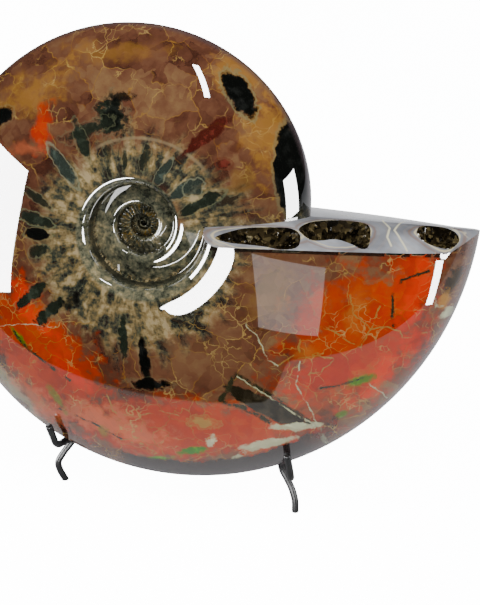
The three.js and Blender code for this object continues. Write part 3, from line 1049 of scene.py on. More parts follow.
@dataclass(frozen=True)
class FloorFinish:
    """White floor; mirrored in the fossil it is a sheet that ends a little way in front of it.

    Attributes:
        front: Where the sheet ends, in metres.
        step: How far its nearer end is set out at the right.
        glow: How bright the floor is to the camera.
    """

    front: float = -0.195
    step: float = 0.105
    glow: float = 15.0

    def material(self) -> bpy.types.Material:
        """Builds the material.

        Returns:
            The material.
        """
        made, g, shader = new_material("pale_floor")
        place = g.add("ShaderNodeTexCoord").outputs["Object"]
        tint = g.ramp(g.noise(place, 3.0), {0.3: "f2f4f4", 0.7: "f7f8f8"})
        axes, path = g.split(place), g.add("ShaderNodeLightPath").outputs
        reach = g.plus(axes["Y"], g.times(g.fade(axes["X"], 0.06, 0.12), self.step))
        past = g.times(path["Is Glossy Ray"], g.fade(reach, self.front, self.front - 0.005))
        sheet_tone = g.mix(g.fade(axes["Y"], -0.17, 0.0), "a2a2a0", "fafafc")
        mirrored = g.mix(path["Is Glossy Ray"], tint, sheet_tone)
        g.put(shader, Base_Color=g.mix(past, mirrored, "0c0c0d"), Roughness=0.6, Specular_IOR_Level=0.0)
        g.put(shader, Emission_Color=tint, Emission_Strength=g.times(path["Is Camera Ray"], self.glow))
        return made


# Shaping


def extruded(bm: Mesh, edges: Sequence[Edge]) -> tuple[list[Vert], list[Edge]]:
    """Draws faces out of open edges, which are still to be moved.

    Args:
        bm: The mesh.
        edges: The open edges.

    Returns:
        The new vertices and the new edges.
    """
    grown = bmesh.ops.extrude_edge_only(bm, edges=edges)["geom"]
    return [v for v in grown if isinstance(v, Vert)], [e for e in grown if isinstance(e, Edge)]


def stand(bm: Mesh) -> None:
    """Carries a mesh from mouth radii to its standing place, and turns its faces outwards."""
    bmesh.ops.transform(bm, matrix=STANCE @ Matrix.Scale(MOUTH_RADIUS, 4), verts=bm.verts)
    bmesh.ops.recalc_face_normals(bm, faces=bm.faces)


def finish_piece(
    bm: Mesh, name: str, materials: Iterable[bpy.types.Material], sharp: float | None = None
) -> bpy.types.Object:
    """Makes an object of a mesh and puts it in the scene.

    Args:
        bm: The mesh, which is used up.
        name: The object's name.
        materials: Its materials, in the order of their numbers on the faces.
        sharp: The angle in degrees from which an edge stays sharp; without it all do.

    Returns:
        The object.
    """
    mesh = bpy.data.meshes.new(name)
    bm.to_mesh(mesh)
    bm.free()
    for material in materials:
        mesh.materials.append(material)
    if sharp is not None:
        mesh.shade_smooth()
        mesh.set_sharp_from_angle(angle=math.radians(sharp))
    piece = bpy.data.objects.new(name, mesh)
    bpy.context.scene.collection.objects.link(piece)
    log.info("%s: %d faces", name, len(mesh.polygons))
    return piece


# The shell

# The numbers of the fossil's materials on its faces; the fields' own ones start at the last.
PLAIN_FACES, MOUTH_FACES, WALL_FACES, FIELD_FACES = 0, 1, 2, 3


@dataclass(frozen=True)
class Coil:
    """The growth law of the shell and the section of its whorl.

    Attributes:
        growth: How much the keel's radius grows in a turn.
        section: Half thickness over the root of the distance in from the keel.
        seam: Where a whorl leaves the whorl before it, as a share of its keel's radius.
        shoulder: Where the shoulder round the navel ends.
        fatness: How far inner whorls keep the outer one's thickness.
        rise: Height of the mouth's face over the coil's axis.
        dip: How far the face sinks towards the keel.
        front_dome: How far it falls to its front edge.
        back_dome: How far it falls to its back edge.
        ribs: How many ribs an inner whorl has.
        rib_height: How much a rib adds to the thickness, as a share of it.
    """

    growth: float = 2.05
    section: float = 0.334
    seam: float = 0.2
    shoulder: float = 0.27
    fatness: float = 0.45
    rise: float = 0.033
    dip: float = 0.01
    front_dome: float = 0.064
    back_dome: float = 0.014
    ribs: int = 26
    rib_height: float = 0.05

    def keel(self, angle: float) -> float:
        """The keel's radius, in mouth radii; the mouth is at one full turn."""
        return self.growth ** (angle / TURN - 1.0)

    def flank(self, angle: float, share: float) -> float:
        """Half thickness without the shoulder."""
        scale = self.fatness + (1.0 - self.fatness) * self.keel(angle)
        return scale * self.section * math.sqrt(max(0.0, 1.0 - share))

    def relief(self, angle: float, share: float) -> float:
        """Works out what the ribs of the inner whorls add to the thickness.

        Args:
            angle: Place along the coil.
            share: Place on the section.

        Returns:
            A factor of the thickness.
        """
        along = smooth((-1.05 * TURN - angle) / 1.5) * smooth((angle + 3.0 * TURN) / 1.5)
        place = (share - self.seam) / (self.seam * self.growth - self.seam)
        across = math.sin(math.pi * min(1.0, max(0.0, place)))
        return 1.0 + self.rib_height * along * across * math.cos(self.ribs * angle)

    def half(self, angle: float, share: float) -> float:
        """Works out half the thickness: a round shoulder springing from the whorl before, then the flank.

        Args:
            angle: Place along the coil.
            share: Place on the section.

        Returns:
            Half the thickness, in mouth radii.
        """
        flank = self.flank(angle, share) * self.relief(angle, share)
        if share >= self.shoulder:
            return flank
        root = self.flank(angle - TURN, self.seam * self.growth)
        start = min(1.0, root / self.flank(angle, self.seam))
        t = (share - self.seam) / (self.shoulder - self.seam)
        return flank * (start + (1.0 - start) * math.sqrt(max(0.0, 1.0 - (1.0 - t) ** 2)))

    def point(self, angle: float, share: float, side: float) -> Vector:
        """A point of the surface, in the shell's frame and in mouth radii."""
        radius = share * self.keel(angle)
        return Vector((radius * math.cos(angle), radius * math.sin(angle), side * self.half(angle, share)))

    def mouth_width(self, x: float) -> float:
        """Half the mouth's width at a distance out from the coil's axis."""
        return self.section * math.sqrt(1.0 - min(0.92, max(0.02, x)))

    def mouth_height(self, x: float, z: float) -> float:
        """Works out how high the mouth's face is.

        Args:
            x: Out from the coil's axis.
            z: Towards the front.

        Returns:
            Its height over the axis, in mouth radii.
        """
        across = z / self.mouth_width(x)
        dome = self.front_dome if z > 0 else self.back_dome
        return self.rise - self.dip * x**4 - dome * across * across

    def mouth_angle(self, share: float, side: float, turns: float) -> float:
        """How far from the mouth's line, in radians, the line of a share meets the mouth's face.

        Args:
            share: Place on the section.
            side: 1 for the front, -1 for the back.
            turns: 1 at the end of the outer whorl, 0 a turn earlier.

        Returns:
            The angle past that line.
        """
        angle = 0.0
        for _ in range(12):
            point = self.point(turns * TURN + angle, share, side)
            angle = math.asin(max(-0.9, min(0.9, self.mouth_height(point.x, point.z) / point.xy.length)))
        return angle


@dataclass(frozen=True)
class Hollow:
    """One open hollow of the mouth, with its crust of crystals.

    Attributes:
        name: The crust's CAD node.
        x: Out from the coil's axis, in mouth radii.
        z: Towards the front.
        wide: Half its length.
        thick: Half its width.
        depth: How deep it goes.
        lean: How its length turns, in radians.
        outline: Points round its edge, each out and to the front, in mouth radii.
        crystals: How many crystals line it.
        seed: Start of its own random numbers.
        points: Large crystals: out, to the front, share of the depth, length and lean of each.
    """

    name: str
    x: float
    z: float
    wide: float
    thick: float
    depth: float
    lean: float
    outline: tuple[Point, ...]
    crystals: int
    seed: int
    points: tuple[tuple[float, float, float, float, float], ...] = ()

    def inward(self, down: float) -> float:
        """How far the hollow has moved away from the front flank at a share of its depth."""
        return 0.4 * self.depth * down

    def width(self, down: float) -> float:
        """How wide the hollow is at a share of its depth, as a share of its opening."""
        return 1 - down**3.2

    def by(self, co: Vector, along: float, aside: float) -> bool:
        """Whether a place lies within so many half lengths and half widths of the hollow's middle."""
        return abs(co.x - self.x) < along * self.wide and abs(co.z - self.z) < aside * self.thick

    @staticmethod
    def centre(edge: Sequence[Vector]) -> Vector:
        """The middle of an outline."""
        return Vector((sum(p.x for p in edge) / len(edge), sum(p.y for p in edge) / len(edge)))

    @staticmethod
    def holds(edge: Sequence[Vector], co: Vector) -> bool:
        """Tests whether a place of the mouth lies inside an outline.

        Args:
            edge: The outline.
            co: The place.

        Returns:
            Whether it does.
        """
        hit = False
        for a, b in zip(edge, edge[1:] + edge[:1]):
            if (a.y > co.z) != (b.y > co.z) and co.x < a.x + (co.z - a.y) / (b.y - a.y) * (b.x - a.x):
                hit = not hit
        return hit

    def edge(self, count: int) -> list[Vector]:
        """Draws the outline as a smooth closed line.

        Args:
            count: How many points it gets.

        Returns:
            The points, out from the axis and to the front.
        """
        points = [Vector(p).to_3d() for p in self.outline]
        total = len(points)
        line = []
        for i in range(count):
            place = i * total / count
            k, t = int(place) % total, place - int(place)
            a, b, c, d = (points[(k + n) % total] for n in (-1, 0, 1, 2))
            square, cube = 2 * a - 5 * b + 4 * c - d, 3 * b - a - 3 * c + d
            line.append(0.5 * (2 * b + (c - a) * t + square * t**2 + cube * t**3))
        return line


HOLLOWS = (
    Hollow(
        "crystal_lining_inner", 0.362, 0.2, 0.124, 0.052, 0.13, 0.24,
        ((0.243, 0.236), (0.3, 0.176), (0.345, 0.153), (0.392, 0.14), (0.44, 0.132), (0.474, 0.15),
         (0.488, 0.188), (0.482, 0.226), (0.44, 0.246), (0.39, 0.246), (0.335, 0.25), (0.285, 0.253)),
        420, 11,
    ),
    Hollow(
        "crystal_lining_middle", 0.582, 0.115, 0.1, 0.077, 0.17, 0.24,
        ((0.474, 0.128), (0.5, 0.075), (0.54, 0.047), (0.59, 0.03), (0.635, 0.032),
         (0.668, 0.05), (0.683, 0.09), (0.686, 0.16), (0.668, 0.178), (0.635, 0.168),
         (0.59, 0.16), (0.55, 0.176), (0.518, 0.182), (0.49, 0.16)),
        520, 23,
        ((0.615, 0.1, 0.42, 0.06, -0.7), (0.6, 0.075, 0.5, 0.045, -0.3), (0.635, 0.125, 0.55, 0.05, -0.9)),
    ),
    Hollow(
        "crystal_lining_outer", 0.88, 0.052, 0.062, 0.043, 0.12, 0.25,
        ((0.818, 0.06), (0.822, 0.03), (0.84, 0.008), (0.866, 0.004), (0.9, 0.012), (0.928, 0.03),
         (0.944, 0.056), (0.935, 0.074), (0.91, 0.088), (0.876, 0.097), (0.846, 0.095), (0.824, 0.082)),
        300, 37,
    ),
)


def sheet(bm: Mesh, rows: int, columns: int) -> list[tuple[Vert, int, int]]:
    """A grid of faces whose vertices are still to be placed.

    Args:
        bm: The mesh it is added to.
        rows: Faces one way.
        columns: Faces the other way.

    Returns:
        Each new vertex with its row and column.
    """
    made = bmesh.ops.create_grid(bm, x_segments=columns, y_segments=rows, size=1.0)["verts"]
    return [(v, round((v.co.y + 1.0) / 2.0 * rows), round((v.co.x + 1.0) / 2.0 * columns)) for v in made]


@dataclass
class AmmoniteShell:
    """The fossil: its whorls as one smooth skin, its mouth's face and the walls of the three hollows.

    Attributes:
        coil: The growth law.
        hollows: The hollows of the mouth.
        shell_finish: The polished shell.
        mouth_finish: The stone of the mouth.
        wall_finish: The walls of the hollows.
        steps: Rows of faces in a turn.
        inner_turns: Whorls inside the outer one.
        wall_steps: Faces up the wall round the navel.
        visible_steps: Faces across what shows of an inner whorl.
        flank_steps: Faces from there to the keel.
        mouth_rows: Faces across the mouth's face.
        hollow_rings: Faces down a hollow's wall.
        outline_points: Points round a hollow's outline.
        rim_reach: How near its outline an edge of its opening lies.
        bottom_gap: How near the vertices of its bottom are when they are merged.
        seam_gap: The same along the seams of the skin.
        behind: How far behind the coil's plane the fields of the front flank reach.
        reach: How far, in radians, the rows turn to meet the mouth's face.
        sharp: The angle in degrees from which an edge stays sharp.
        shares: Where on the section each line of vertices runs.
        joint: The line that the next whorl's seam follows.
        last: The keel's line.
        starts: How far each line turns at the outer whorl's start, by side.
        ends: The same at its end.
    """

    coil: Coil
    hollows: tuple[Hollow, ...]
    shell_finish: ShellFinish
    mouth_finish: MouthFinish
    wall_finish: DruseFinish
    steps: int = 264
    inner_turns: int = 4
    wall_steps: int = 7
    visible_steps: int = 7
    flank_steps: int = 40
    mouth_rows: int = 64
    hollow_rings: int = 9
    outline_points: int = 160
    rim_reach: float = 0.02
    bottom_gap: float = 0.004
    seam_gap: float = 2e-5
    behind: float = 0.03
    reach: float = 0.7
    sharp: float = 42.0
    shares: list[float] = field(init=False)
    joint: int = field(init=False)
    last: int = field(init=False)
    starts: dict[float, list[float]] = field(init=False)
    ends: dict[float, list[float]] = field(init=False)

    def __post_init__(self) -> None:
        """Works out where the lines of vertices run on the section and where they meet the mouth's face."""
        coil = self.coil
        edge = coil.seam * coil.growth
        bend = [1 - math.cos(math.pi / 2 * i / self.wall_steps) for i in range(self.wall_steps)]
        wall = [coil.seam + (coil.shoulder - coil.seam) * rise for rise in bend]
        strip = edge - coil.shoulder
        shown = [coil.shoulder + strip * i / self.visible_steps for i in range(self.visible_steps)]
        outer = [1.0 - (1.0 - edge) * (1 - i / self.flank_steps) ** 2 for i in range(self.flank_steps + 1)]
        self.shares = wall + shown + outer
        self.joint = self.wall_steps + self.visible_steps
        self.last = len(self.shares) - 1
        self.starts, self.ends = {}, {}
        for side in (1.0, -1.0):
            self.ends[side] = [coil.mouth_angle(share, side, 1) for share in self.shares]
            row = [coil.mouth_angle(share, side, 0) for share in self.shares]
            meet = row[self.joint]
            row[: self.joint] = [meet * smooth(i / self.joint) for i in range(self.joint)]
            self.starts[side] = row
            self.ends[side][0] = meet

    def warp(self, angle: float, index: int, side: float) -> float:
        """Turns a vertex of the outer whorl's ends so that its row meets the mouth's face.

        Args:
            angle: The row's angle.
            index: The line of vertices.
            side: 1 in front, -1 behind.

        Returns:
            The angle at which the vertex really sits.
        """
        if angle > TURN - self.reach:
            return angle + self.ends[side][index] * smooth(1 - (TURN - angle) / self.reach)
        if abs(angle) < self.reach:
            return angle + self.starts[side][index] * smooth(1 - abs(angle) / self.reach)
        return angle

    def surface_point(self, angle: float, index: int, side: float) -> Vector:
        """Finds a vertex's place on the shell.

        Args:
            angle: The row's angle.
            index: The line of vertices; the first one lies on the whorl before.
            side: 1 in front, -1 behind.

        Returns:
            The place, in mouth radii.
        """
        real = self.warp(angle, index, side)
        if index == 0:
            return self.coil.point(real - TURN, self.shares[self.joint], side)
        return self.coil.point(real, self.shares[index], side)

    def across(self, first: int = 0) -> list[tuple[int, float]]:
        """The lines of vertices from a first one over the keel to its twin behind, with their sides."""
        front = [(i, 1.0) for i in range(first, self.last + 1)]
        return front + [(i, -1.0) for i in reversed(range(first, self.last))]

    def skin(self, bm: Mesh, first_turn: int, turns: int, lines: Sequence[tuple[int, float]]) -> None:
        """Adds one stretch of the skin.

        Args:
            bm: The fossil's mesh, in mouth radii.
            first_turn: Where it starts, in turns before the outer whorl's start.
            turns: How many turns long it is.
            lines: Across the section, each line's index and its side, 1 in front and -1 behind.
        """
        share = bm.verts.layers.float["share"]
        growth = bm.verts.layers.float["growth"]
        for vert, row, column in sheet(bm, turns * self.steps, len(lines) - 1):
            angle = TURN * (first_turn + row / self.steps)
            index, side = lines[column]
            vert.co = self.surface_point(angle, index, side)
            vert[share] = self.shares[index]
            vert[growth] = angle / TURN

    def whorls(self, bm: Mesh) -> None:
        """Adds both flanks of the inner whorls where they show, and the whole outer whorl.

        Args:
            bm: The fossil's mesh, in mouth radii.
        """
        lines = self.across()
        self.skin(bm, -self.inner_turns, self.inner_turns, lines[: self.joint + 1])
        self.skin(bm, -self.inner_turns, self.inner_turns, lines[-self.joint - 1 :])
        self.skin(bm, 0, 1, lines)

    def mouth(self, bm: Mesh) -> None:
        """Adds the mouth's face between the end of the outer whorl and the whorl before it.

        Args:
            bm: The fossil's mesh, in mouth radii.
        """
        outer = [self.surface_point(TURN, *line) for line in self.across()]
        chain = [self.surface_point(0.0, *line) for line in self.across(self.joint)]

        def inner(t: float) -> Vector:
            """Finds a place along the whorl before, from the front seam over its keel to the back seam.

            Args:
                t: How far along, from 0 to 1.

            Returns:
                The place.
            """
            place = t * (len(chain) - 1)
            k = min(int(place), len(chain) - 2)
            return chain[k].lerp(chain[k + 1], place - k)

        for vert, row, column in sheet(bm, self.mouth_rows, len(outer) - 1):
            spot = inner(column / (len(outer) - 1)).lerp(outer[column], row / self.mouth_rows)
            vert.co = Vector((spot.x, self.coil.mouth_height(spot.x, spot.z), spot.z))
            for face in vert.link_faces:
                face.material_index = MOUTH_FACES

    def cut_hollow(self, bm: Mesh, hollow: Hollow) -> None:
        """Opens one hollow in the mouth's face and draws its walls down.

        Args:
            bm: The fossil's mesh, in mouth radii.
            hollow: The hollow.
        """
        edge = hollow.edge(self.outline_points)

        def close(f: Face) -> bool:
            """Whether a face is one of the mouth's near this hollow."""
            c = f.calc_center_median()
            return f.material_index == MOUTH_FACES and hollow.by(c, 1.3, 2.2)

        for _ in range(2):
            near = [f for f in bm.faces if close(f)]
            touched = [f for f in near if len({hollow.holds(edge, v.co) for v in f.verts}) == 2]
            edges = list({e for f in touched for e in f.edges})
            bmesh.ops.subdivide_edges(bm, edges=edges, cuts=1, use_grid_fill=True)
        near = [f for f in bm.faces if close(f)]
        gone = [f for f in near if hollow.holds(edge, f.calc_center_median())]
        bmesh.ops.delete(bm, geom=gone, context="FACES")

        def on_rim(e: Edge) -> bool:
            """Tests whether an edge is one of the opening's.

            Args:
                e: An open edge of the mouth's face.

            Returns:
                Whether both its ends lie near the outline.
            """
            if not hollow.by(e.verts[0].co, 1.3, 1.6):
                return False
            spots = [Vector((v.co.x, v.co.z, 0)) for v in e.verts]
            return all(min((spot - p).length for p in edge) < self.rim_reach for spot in spots)

        open_edges = [e for e in bm.edges if len(e.link_faces) == 1]
        rim = [e for e in open_edges if e.link_faces[0].material_index == MOUTH_FACES and on_rim(e)]
        for vert in {v for e in rim for v in e.verts}:
            _, x, z = min(self.distance(vert.co, a, b) for a, b in zip(edge, edge[1:] + edge[:1]))
            vert.co = Vector((x, self.coil.mouth_height(x, z), z))
        self.draw_walls(bm, hollow, hollow.centre(edge), rim)

    def draw_walls(self, bm: Mesh, hollow: Hollow, centre: Vector, rim: list[Edge]) -> None:
        """Draws a hollow's walls down from its rim to its closed bottom.

        Args:
            bm: The fossil's mesh, in mouth radii.
            hollow: The hollow.
            centre: The middle of its outline.
            rim: The edges of its opening.
        """
        depths = [math.sin(math.pi / 2 * ring / self.hollow_rings) for ring in range(self.hollow_rings + 1)]
        for previous, down in zip(depths, depths[1:]):
            verts, rim = extruded(bm, rim)
            narrower = max(0.02, hollow.width(down)) / max(0.02, hollow.width(previous))
            middle = centre.y - hollow.inward(previous)
            for vert in verts:
                x = centre.x + (vert.co.x - centre.x) * narrower
                z = centre.y - hollow.inward(down) + (vert.co.z - middle) * narrower
                vert.co = Vector((x, vert.co.y - hollow.depth * (down - previous), z))
            for face in {f for v in verts for f in v.link_faces}:
                face.material_index = WALL_FACES
        bottom = list({v for e in rim for v in e.verts})
        bmesh.ops.remove_doubles(bm, verts=bottom, dist=self.bottom_gap)

    @staticmethod
    def distance(co: Vector, a: Vector, b: Vector) -> tuple[float, float, float]:
        """Measures how far a place of the mouth lies from a straight stretch of an outline.

        Args:
            co: The place.
            a: Where the stretch starts.
            b: Where it ends.

        Returns:
            The distance, and the nearest place on the stretch: out from the axis and to the front.
        """
        along = b - a
        point = Vector((co.x, co.z, 0.0))
        near = a + along * min(1.0, max(0.0, (point - a).dot(along) / max(along.length_squared, 1e-12)))
        return ((point - near).length, near.x, near.y)

    def close_core(self, bm: Mesh) -> None:
        """Closes the small hole in the middle of each navel with a bead, the first chamber.

        Args:
            bm: The fossil's mesh, in mouth radii.
        """
        start = -self.inner_turns * TURN
        radius = self.coil.keel(start) * self.coil.seam * self.coil.growth * 1.15
        bead = Matrix.Diagonal((radius, radius, self.coil.half(start, 0.3) * 1.01, 1.0))
        bmesh.ops.create_uvsphere(bm, u_segments=24, v_segments=16, radius=1.0, matrix=bead)

    def share_out(self, bm: Mesh) -> None:
        """Gives each face of the front flank the material of its field.

        Args:
            bm: The fossil's mesh, in mouth radii.
        """
        for face in bm.faces:
            middle = face.calc_center_median()
            if face.material_index == PLAIN_FACES and middle.z > -self.behind:
                number = next(i for i, part in enumerate(FIELDS) if part.holds(middle.x, middle.y, 1e-6))
                face.material_index = FIELD_FACES + number

    def build(self) -> bpy.types.Object:
        """Builds the fossil, stands it in its place and gives it its materials.

        Returns:
            The fossil.
        """
        bm = bmesh.new()
        bm.verts.layers.float.new("share")
        bm.verts.layers.float.new("growth")
        self.whorls(bm)
        self.mouth(bm)
        bmesh.ops.remove_doubles(bm, verts=bm.verts, dist=self.seam_gap)
        bmesh.ops.dissolve_degenerate(bm, edges=bm.edges, dist=1e-6)
        for hollow in self.hollows:
            self.cut_hollow(bm, hollow)
        self.close_core(bm)
        self.share_out(bm)
        stand(bm)
        plain = self.shell_finish.material(PLAIN)
        materials = [plain, self.mouth_finish.material(), self.wall_finish.material("hollow_wall")]
        materials += [self.shell_finish.material(part) for part in FIELDS]
        return finish_piece(bm, "fossil_shell", materials, self.sharp)


@dataclass
class CrystalLining:
    """The crust of small crystals in one hollow; sizes in mouth radii.

    Attributes:
        hollow: The hollow.
        coil: The growth law.
        finish: What the crystals look like.
        outline_points: Points round the hollow's outline.
        shallowest: The share of the depth at which the crystals start.
        smallest: The smallest crystal's size.
        largest: The largest crystal's size.
        large_faces: The number of a large crystal's material on its faces.
    """

    hollow: Hollow
    coil: Coil
    finish: DruseFinish
    outline_points: int = 120
    shallowest: float = 0.06
    smallest: float = 0.006
    largest: float = 0.0135
    large_faces: int = 1

    def under(self, x: float, z: float, down: float) -> Vector:
        """A place of the hollow at a share of its depth."""
        return Vector((x, self.coil.mouth_height(x, z) - self.hollow.depth * down, z))

    def prism(self, bm: Mesh, place: Matrix, length: float) -> None:
        """Adds one large six-sided crystal with a point.

        Args:
            bm: The crust's mesh.
            place: Where its foot stands and which way it points.
            length: How long it is, in mouth radii.
        """
        wide = length * 0.28
        shoulder = wide * 0.94
        for radius, end, depth, middle in ((wide, shoulder, 0.7, 0.35), (shoulder, 0.0, 0.3, 0.85)):
            made = bmesh.ops.create_cone(
                bm, cap_ends=True, segments=6, radius1=radius, radius2=end, depth=length * depth,
                matrix=place @ Matrix.Translation((0, 0, length * middle)),
            )
            for face in {face for vert in made["verts"] for face in vert.link_faces}:
                face.material_index = self.large_faces

    def crystal(self, bm: Mesh, rng: random.Random, number: int, edge: Sequence[Vector]) -> None:
        """Adds one small crystal, a blunt cone that stands out from the wall towards the hollow's middle.

        Args:
            bm: The crust's mesh.
            rng: The crust's random numbers.
            number: Which one it is; the last ones stand deepest.
            edge: The hollow's outline.
        """
        centre = self.hollow.centre(edge)
        place = ((number + rng.random()) / self.hollow.crystals) ** 0.8
        down = self.shallowest + (1.0 - self.shallowest) * place
        spot = edge[rng.randrange(len(edge))]
        spread = self.hollow.width(down) * (1.0 if down < 0.97 else math.sqrt(rng.random()))
        x = centre.x + (spot.x - centre.x) * spread * 0.97
        z = centre.y - self.hollow.inward(down) + (spot.y - centre.y) * spread * 0.94
        wall = self.under(x, z, down)
        inwards = (self.under(centre.x, centre.y, 0.55) - wall).normalized()
        inwards += Vector((rng.uniform(-0.4, 0.4), rng.uniform(-0.3, 0.6), rng.uniform(-0.4, 0.4)))
        size = rng.uniform(self.smallest, self.largest) * (0.75 + 0.5 * rng.random())
        aim = inwards.to_track_quat("Z", "Y").to_matrix().to_4x4()
        spin = Matrix.Rotation(rng.uniform(0, TURN), 4, "Z")
        bmesh.ops.create_cone(
            bm, cap_ends=True, segments=rng.choice((4, 5, 6)), radius1=size * 0.5,
            radius2=size * rng.uniform(0.05, 0.3), depth=size * rng.uniform(0.9, 1.6),
            matrix=Matrix.Translation(wall + inwards.normalized() * size * 0.2) @ aim @ spin,
        )

    def build(self) -> bpy.types.Object:
        """Builds the crystals on the hollow's walls.

        Returns:
            The crust.
        """
        rng = random.Random(self.hollow.seed)
        bm = bmesh.new()
        edge = self.hollow.edge(self.outline_points)
        for number in range(self.hollow.crystals):
            self.crystal(bm, rng, number, edge)
        for x, z, down, length, lean in self.hollow.points:
            aim = Vector((math.sin(lean), math.cos(lean), 0.5)).to_track_quat("Z", "Y").to_matrix().to_4x4()
            self.prism(bm, Matrix.Translation(self.under(x, z, down)) @ aim, length)
        stand(bm)
        name = self.hollow.name.replace("lining", "crust")
        return finish_piece(bm, name, (self.finish.material(name), self.finish.glass(name + "_points")))


# The easel


@dataclass(frozen=True)
class Wire:
    """One wire of the easel.

    Attributes:
        node: The CAD node it stands for.
        points: What its middle runs through, in the frame, in metres.
        floor: Whether its foot is cut off flat on the floor.
        radius: Half its thickness.
        sides: Faces round it.
        step: The length of its faces.
        sharp: The angle in degrees from which an edge stays sharp.
    """

    node: str
    points: tuple[Vector, ...]
    floor: bool = False
    radius: float = 2.1 * MM
    sides: int = 24
    step: float = 1.6 * MM
    sharp: float = 50.0

    def route(self) -> list[Vector]:
        """Finds the wire's middle line.

        Returns:
            Its places, in short even steps.
        """
        points = list(self.points)
        points = [2 * points[0] - points[1]] + points + [2 * points[-1] - points[-2]]
        line: list[Vector] = []
        for k in range(1, len(points) - 2):
            four = points[k - 1 : k + 3]
            knots = [0.0]
            for a, b in zip(four, four[1:]):
                knots.append(knots[-1] + max(1e-6, (b - a).length) ** 0.5)
            steps = max(2, round((four[2] - four[1]).length / self.step))
            for i in range(steps):
                line.append(self.between(four, knots, knots[1] + (knots[2] - knots[1]) * i / steps))
        line.append(points[-2])
        return line

    @staticmethod
    def between(p: Sequence[Vector], k: Sequence[float], t: float) -> Vector:
        """Finds a place on the smooth line between the middle two of four points.

        Args:
            p: The four points.
            k: Where on the line each of them lies.
            t: Where on the line the place lies.

        Returns:
            The place.
        """
        def blend(a: Vector, b: Vector, start: int, end: int) -> Vector:
            """The place between two others that lie at two of the four points."""
            return a * ((k[end] - t) / (k[end] - k[start])) + b * ((t - k[start]) / (k[end] - k[start]))

        first = blend(p[0], p[1], 0, 1)
        middle = blend(p[1], p[2], 1, 2)
        last = blend(p[2], p[3], 2, 3)
        return blend(blend(first, middle, 0, 2), blend(middle, last, 1, 3), 1, 2)

    def build(self, paint: bpy.types.Material) -> bpy.types.Object:
        """Builds the wire: a ring drawn along the route, its free ends a little rounded.

        Args:
            paint: The wire's material.

        Returns:
            The wire.
        """
        line = self.route()
        bm = bmesh.new()
        aim = (line[1] - line[0]).normalized()
        turn = Vector((0, 0, 1)).rotation_difference(aim).to_matrix().to_4x4()
        ring = bmesh.ops.create_circle(bm, cap_ends=False, segments=self.sides, radius=self.radius)["verts"]
        bmesh.ops.transform(bm, matrix=Matrix.Translation(line[0]) @ turn, verts=ring)
        first = edges = bm.edges[:]
        for i in range(1, len(line)):
            ahead = (line[min(i + 1, len(line) - 1)] - line[i - 1]).normalized()
            swing = aim.rotation_difference(ahead).to_matrix().to_4x4()
            verts, edges = extruded(bm, edges)
            move = Matrix.Translation(line[i]) @ swing @ Matrix.Translation(-line[i - 1])
            bmesh.ops.transform(bm, matrix=move, verts=verts)
            aim = ahead
        self.cap(bm, first, (line[0] - line[1]).normalized())
        self.cap(bm, edges, (line[-1] - line[-2]).normalized())
        if self.floor:
            geom = bm.verts[:] + bm.edges[:] + bm.faces[:]
            cut = bmesh.ops.bisect_plane(
                bm, geom=geom, plane_co=(0, 0, 0), plane_no=(0, 0, 1), clear_inner=True
            )
            bmesh.ops.holes_fill(bm, edges=[e for e in cut["geom_cut"] if isinstance(e, Edge)])
        bmesh.ops.recalc_face_normals(bm, faces=bm.faces)
        return finish_piece(bm, self.node + "_wire", (paint,), self.sharp)

    def cap(self, bm: Mesh, edges: list[Edge], outwards: Vector) -> None:
        """Rounds one end over and closes it.

        Args:
            bm: The wire's mesh.
            edges: The edges of its open end.
            outwards: The way out of the wire.
        """
        for forward, shrink in ((0.16, 0.93), (0.1, 0.86)):
            verts, edges = extruded(bm, edges)
            base = sum((v.co for v in verts), Vector()) / len(verts)
            for vert in verts:
                vert.co = base + (vert.co - base) * shrink + outwards * forward * self.radius
        bmesh.ops.contextual_create(bm, geom=edges)


def keel_seat(degrees: float) -> Vector:
    """Where the keel sits in a hook."""
    return STANCE @ (Coil().point(math.radians(degrees), 1.0, 1.0) * MOUTH_RADIUS)


def behind_shell(along: float, up: float, behind: float) -> Vector:
    """A point measured in the leaning plane from the coil's axis, in millimetres."""
    return COIL_MIDDLE + (LEAN @ Vector((along, up, -behind))) * MM


class Side(Enum):
    """The easel's two legs: where on the coil each one's hook sits, in degrees."""

    LEFT = 250.0
    RIGHT = 300.5


# A leg and a hook are measured from where the keel sits, in the frame; a rail from the coil's axis.
LEG_POINTS = {
    Side.LEFT: (
        (-2.6, 3.5, -38), (-3.9, 3, -33.3), (-6.4, 1.6, -25.5),
        (-7, 1.4, -20), (-3.6, 4.4, -13.6), (0.6, 8.2, -7.8),
    ),
    Side.RIGHT: (
        (6.8, -3, -38), (6.6, -2.5, -33), (5.9, -0.6, -25.5),
        (3.2, 2.2, -19.2), (-0.2, 5.2, -14.8), (-3.4, 8, -10.7),
    ),
}
RAIL_POINTS = {
    Side.LEFT: ((-46.4, -135, 18), (-43.5, -124, 26), (-34, -96, 36.5), (-20, -62, 46.5), (-9, -38, 50.5)),
    Side.RIGHT: ((77.5, -137, 19), (72, -124, 27.5), (58, -96, 38.5), (42, -64, 47.5), (26, -36, 52)),
}
HOOK_POINTS = {
    Side.LEFT: (
        (1, 5, -4.8), (-0.84, -0.6, -2.3), (-2.3, -8, -0.2),
        (-3.1, -11.6, 3.2), (-3.9, -13.6, 9.5), (-5, -16, 17.4),
    ),
    Side.RIGHT: (
        (-2.1, 5.5, -7.2), (1.24, -0.6, -2.2), (3.9, -8, -4.2),
        (4.9, -11.6, -2.2), (4.2, -13.4, 5.5), (3.1, -16, 15.7),
    ),
}


